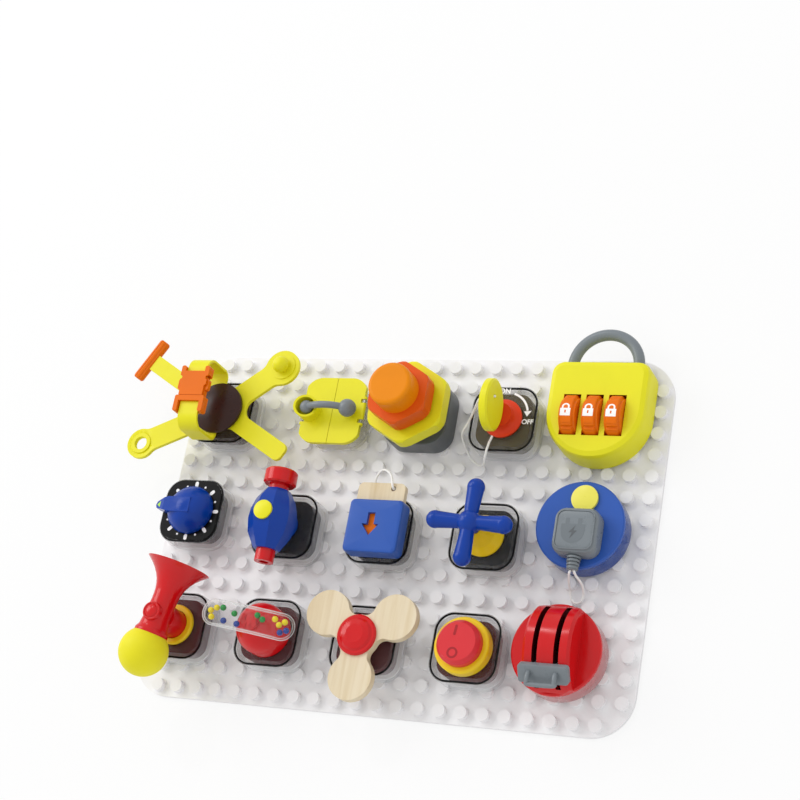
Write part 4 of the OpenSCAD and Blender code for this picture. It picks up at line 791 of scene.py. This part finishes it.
def throttle_pull():
    """The throttle's handle with its pull as an open loop that stands off the bar."""
    piece = copy_of("throttle_handle", "handle_of_throttle")
    handle = at(*THROTTLE_AT, ARCH_Z) @ Matrix.Rotation(math.radians(HANDLE_REST), 4, "X")
    back = handle.inverted()
    bm = bmesh.new()
    bm.from_mesh(piece.data)
    bmesh.ops.remove_doubles(bm, verts=bm.verts, dist=0.000005)
    above = [v for v in bm.verts if (back @ v.co).z > (BAR_TOP + 0.05) * MM]
    bmesh.ops.delete(bm, geom=above, context="VERTS")
    bmesh.ops.holes_fill(bm, edges=[e for e in bm.edges if e.is_boundary], sides=0)
    loop = [(-PULL_HALF, 1.4, BAR_TOP - 1), (-PULL_HALF, 1.2, BAR_TOP + 1.4),
            (-PULL_HALF, -0.4, BAR_TOP + 3.4), (-PULL_HALF, -3.0, BAR_TOP + 4.6),
            (-PULL_HALF + 0.9, -4.8, BAR_TOP + 5.1)]
    loop = loop + [(-x, y, z) for x, y, z in reversed(loop)]
    tube(bm, smooth_path([handle @ (Vector(p) * MM) for p in loop]), PULL_R * MM)
    point_outwards(bm)
    bm.to_mesh(piece.data)
    bm.free()
    for face in piece.data.polygons:
        face.use_smooth = True
    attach(piece, "throttle_handle")
    soften(piece, 0.5)


soft_belt()
for wheel, number in WHEELS.items():
    code_wheel(wheel, number)
    lock_icon(wheel, number)
horn_boss()
toggle_grip()
crowned_capsule()
hook_knob()
soft_spring()
throttle_pull()

# ---------------------------------------------------------------- cords

# Each string starts from a point of its own, and its route counts from there. The routes are
# the same as in the part's source.
STRING_R = 0.9 * MM
BOW_Z = 50.1
KEY_HOLE = Vector((0, 5, 3.6)) + Vector((0, 0, BOW_Z))
KEY_STRING = [
    (4, 0, 0), (-3.4, 0, 0), (-6, -0.3, -0.6), (-9.6, -1.2, -3.8), (-13, -2.6, -9),
    (-17, -4.6, -15.6), (-21, -7.4, -21.6), (-24.6, -10.6, -26), (-27.4, -13.6, -28.2),
    (-29.6, -16.2, -31), (-30.6, -18.8, -36), (-30.4, -21.6, -41.6), (-29.2, -25.2, -45.4),
    (-26.6, -29.4, -46.8), (-22.6, -32.8, -46.8), (-18.4, -35.4, -45.8), (-14.6, -36.2, -42),
    (-11.6, -36.4, -36.8), (-9.6, -36, -32), (-8.4, -34.2, -28.9), (-7.7, -30.6, -27.7),
    (-7.2, -26.8, -27.8), (-6.8, -23.4, -28.4), (-6.2, -20.8, -28.9), (-5.6, -18.4, -29.1)]
CARD_END = Vector((0, 33.5, 28.9))
CARD_STRING = [
    (9, -4, 0.5), (9, -4, 2.6), (8.9, -3.2, 4), (8.4, -1, 4.5), (7.5, 1.5, 4.2), (6.2, 4.4, 3.2),
    (4, 7.4, 2.2), (0.8, 9.8, 1.4), (-2.6, 10.6, 0.6), (-5.4, 9.2, -0.4), (-7.6, 6.4, -1.8),
    (-8.8, 3.4, -3), (-8.6, 0.6, -4), (-6.6, -1.6, -4), (-2, -3.4, -3.7), (3, -4.4, -3.5),
    (6.8, -4.5, -3.4), (8.5, -4.2, -3), (9, -4, -2), (9, -4, -0.5)]
PLUG_END = Vector((1.5, -8, 29.3))
CHARGER_STRING = [
    (-1.2, -26.5, 0), (-1.8, -28, -0.4), (-3, -29.4, -4), (-4.6, -30.6, -9.6),
    (-5.8, -32, -15.6), (-6.4, -34.4, -20.4), (-6.2, -37.6, -22.8), (-4.8, -40.8, -23.2),
    (-2, -42.6, -23.2), (1, -41.6, -23.2), (2.6, -38.4, -22.8), (3.2, -34.8, -20.4),
    (3.4, -32.2, -15.6), (3.2, -30.8, -9.6), (2.4, -29.6, -4), (1.8, -28, -0.4), (1.2, -26.5, 0)]


def string_piece(name, node, body, place, origin, route, follows=None):
    """A twisted string along its route, on its body; when follows is given it is left on no body.
    """
    line = smooth_path([spot(*place) + (Vector(p) + origin) * MM for p in route])
    bm = bmesh.new()
    tube(bm, line, STRING_R, lay=0.05)
    piece = add_mesh(name, bm, None if follows else body, STRING)
    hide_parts(node)
    if follows:
        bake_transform(piece)


string_piece("string_of_key", "key_string", "key_barrel", KEY_AT, KEY_HOLE, KEY_STRING,
             "key")
string_piece("string_of_card", "card_string", "card", CARD_AT, CARD_END, CARD_STRING)
string_piece("string_of_plug", "charger_string", "charger_plug", CHARGER_AT, PLUG_END,
             CHARGER_STRING)

# ---------------------------------------------------------------- printed marks

ON_BOX = BOX_TOP + 0.02    # just over a module box
ON_DIAL = BOX_TOP + 0.8    # the dial's face
ON_BUTTON = 40.5
ON_PLUG = 36.8
MARK_THICK, TEXT_THICK, TEXT_BOLD = 0.12, 0.06, 0.12


def add_text(name, words, size, place, x, y):
    """A word printed on a module box, centred on (x, y) from the module's centre."""
    data = bpy.data.curves.new(name, "FONT")
    data.body = words
    data.size = size * MM
    data.align_x = "CENTER"
    data.align_y = "CENTER"
    data.extrude = TEXT_THICK * MM
    data.offset = TEXT_BOLD * MM
    data.materials.append(PRINT)
    piece = bpy.data.objects.new(name, data)
    bpy.context.scene.collection.objects.link(piece)
    piece.matrix_world = at(*place, ON_BOX, x, y)
    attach(piece, "board")


def flat_mark(name, outlines, body, place, z, thick=MARK_THICK, material=PRINT):
    """Thin raised marks: outlines round a module's centre, at height z over the plate."""
    bm = bmesh.new()
    for outline in outlines:
        extruded(bm, outline, 0.0, thick, at(*place, z))
    add_mesh(name, bm, body, material, False)


def dial_marks():
    """A long mark every 45 degrees and a dot between each two, except under the pointer."""
    bars = [turned(rounded_bar(4.6, 2.7), angle, *on_circle(20.8, angle))
            for angle in (90, 45, 0, -45, -90, -135, 135)]
    dots = [arc(*on_circle(20.2, angle), 0.85, 0, 345, 12)
            for angle in (112, 67, 22, -22, -67, -112, -157, 157)]
    flat_mark("dial_marks", bars + dots, "board", DIAL_AT, ON_DIAL)


def key_marks():
    """ON and OFF beside the key, and the arrow from one to the other."""
    add_text("mark_on", "ON", 5.4, KEY_AT, -1.8, 21.5)
    add_text("mark_off", "OFF", 5.0, KEY_AT, 18.6, -1.8)
    shaft = band(12, 74, 17.6, 16.0, 1.0, 3.4)
    tip = [(17.6, 2.4), (20.6, 6.8), (14.8, 6.2)]
    flat_mark("mark_turn_arrow", [shaft, tip], "board", KEY_AT, ON_BOX)


def button_marks():
    """The strokes I and O of the push button."""
    bar = turned(rounded_bar(7.4, 1.7), 84, -2.1, 7.7)
    ring = [band(start, start + 180, 3.9, 2.5, -2, -8) for start in (0, 180)]
    flat_mark("button_marks", [bar] + ring, "red_button", BUTTON_AT, ON_BUTTON, 0.15, RED_PRINT)


def plug_marks():
    """The inset sign of a mains plug with a lightning bolt on the charging plug, and its rim."""
    cx, cy = 0.4, -9.6
    layer = 0.1

    def around(points):
        return [(cx + x, cy + y) for x, y in points]

    body = arc(cx, cy, 8.2, 180, 360, 24) + around([(8.6, 1), (8.4, 5.4), (-8.4, 5.4), (-8.6, 1)])
    prongs = [around([(x - 1.4, 5.4), (x + 1.4, 5.4), (x + 1.4, 9.6), (x - 1.4, 9.6)])
              for x in (-4.4, 4.4)]
    bolt = around([(1.6, 4.4), (-2.8, -0.6), (-0.4, -0.6), (-1.6, -5.0), (3.0, 0.8), (0.5, 0.8)])
    flat_mark("plug_icon", [body] + prongs, "charger_plug", CHARGER_AT, ON_PLUG, layer, PLUG_ICON)
    flat_mark("plug_bolt", [bolt], "charger_plug", CHARGER_AT, ON_PLUG + layer, layer, DARK_GREY)
    rim = rounded_box(1.5, -8.0, 13.2, 13.6, 5.0)
    place = at(*CHARGER_AT, ON_PLUG)
    bm = bmesh.new()
    tube(bm, [place @ (Vector((x, y, 0)) * MM) for x, y in rim + rim[:1]], 0.5 * MM, sides=8)
    add_mesh("plug_rim", bm, "charger_plug", GREY)


dial_marks()
key_marks()
button_marks()
plug_marks()

# ---------------------------------------------------------------- floor, light and world

FLOOR_HALF, FLOOR_Z = 4, -0.0005   # metres
FLOOR_SEEN = 0.8                   # share of plain white in the floor that the camera sees
SKY_LIGHT, SKY_SEEN = 0.8, 1.0     # strength as light, and as the background


def largest(tree, *outputs):
    """The largest of some node outputs."""
    value = outputs[0]
    for other in outputs[1:]:
        node = tree.nodes.new("ShaderNodeMath")
        node.operation = "MAXIMUM"
        tree.links.new(value, node.inputs[0])
        tree.links.new(other, node.inputs[1])
        value = node.outputs[0]
    return value


def add_floor():
    """A pale matte floor that looks near white to the camera and keeps the object's shadow."""
    half = FLOOR_HALF
    mesh = bpy.data.meshes.new("floor")
    mesh.from_pydata([(-half, -half, 0), (half, -half, 0), (half, half, 0), (-half, half, 0)], [],
                     [(0, 1, 2, 3)])
    floor = bpy.data.objects.new("floor", mesh)
    floor.location.z = FLOOR_Z
    bpy.context.scene.collection.objects.link(floor)
    material = bpy.data.materials.new("floor")
    material.use_nodes = True
    tree = material.node_tree
    main = tree.nodes["Principled BSDF"]
    main.inputs["Base Color"].default_value = (0.9, 0.9, 0.9, 1)
    main.inputs["Roughness"].default_value = 0.8
    main.inputs["Specular IOR Level"].default_value = 0.1
    glow = tree.nodes.new("ShaderNodeEmission")
    rays = tree.nodes.new("ShaderNodeLightPath").outputs
    share = tree.nodes.new("ShaderNodeMath")
    share.operation = "MULTIPLY"
    share.inputs[1].default_value = FLOOR_SEEN
    mix = tree.nodes.new("ShaderNodeMixShader")
    seen = largest(tree, rays["Is Camera Ray"], rays["Is Transmission Ray"])
    tree.links.new(seen, share.inputs[0])
    tree.links.new(share.outputs[0], mix.inputs["Fac"])
    tree.links.new(main.outputs[0], mix.inputs[1])
    tree.links.new(glow.outputs[0], mix.inputs[2])
    tree.links.new(mix.outputs[0], tree.nodes["Material Output"].inputs["Surface"])
    mesh.materials.append(material)


def add_light(name, place, size, power):
    """A square lamp that points at the board's centre."""
    data = bpy.data.lights.new(name, "AREA")
    data.shape = "SQUARE"
    data.size = size
    data.energy = power
    lamp = bpy.data.objects.new(name, data)
    lamp.location = place
    lamp.rotation_euler = (-Vector(place)).to_track_quat("-Z", "Y").to_euler()
    bpy.context.scene.collection.objects.link(lamp)


def add_world():
    """Soft white light from all sides, and a white background for the camera, glass and gloss."""
    world = bpy.data.worlds.new("world")
    world.use_nodes = True
    tree = world.node_tree
    sky = tree.nodes["Background"]
    sky.inputs["Color"].default_value = (1, 1, 1, 1)
    rays = tree.nodes.new("ShaderNodeLightPath").outputs
    level = tree.nodes.new("ShaderNodeMapRange")
    level.inputs["To Min"].default_value = SKY_LIGHT
    level.inputs["To Max"].default_value = SKY_SEEN
    seen = largest(
        tree, rays["Is Camera Ray"], rays["Is Transmission Ray"], rays["Is Glossy Ray"])
    tree.links.new(seen, level.inputs["Value"])
    tree.links.new(level.outputs[0], sky.inputs["Strength"])
    bpy.context.scene.world = world


add_floor()
add_light("key_light", (-3.6, 1.5, 2.8), 2.6, 82)
add_light("spark_light", (-1.4, 2.4, 2.8), 0.45, 13)
add_world()
bpy.context.scene.view_settings.view_transform = "Standard"
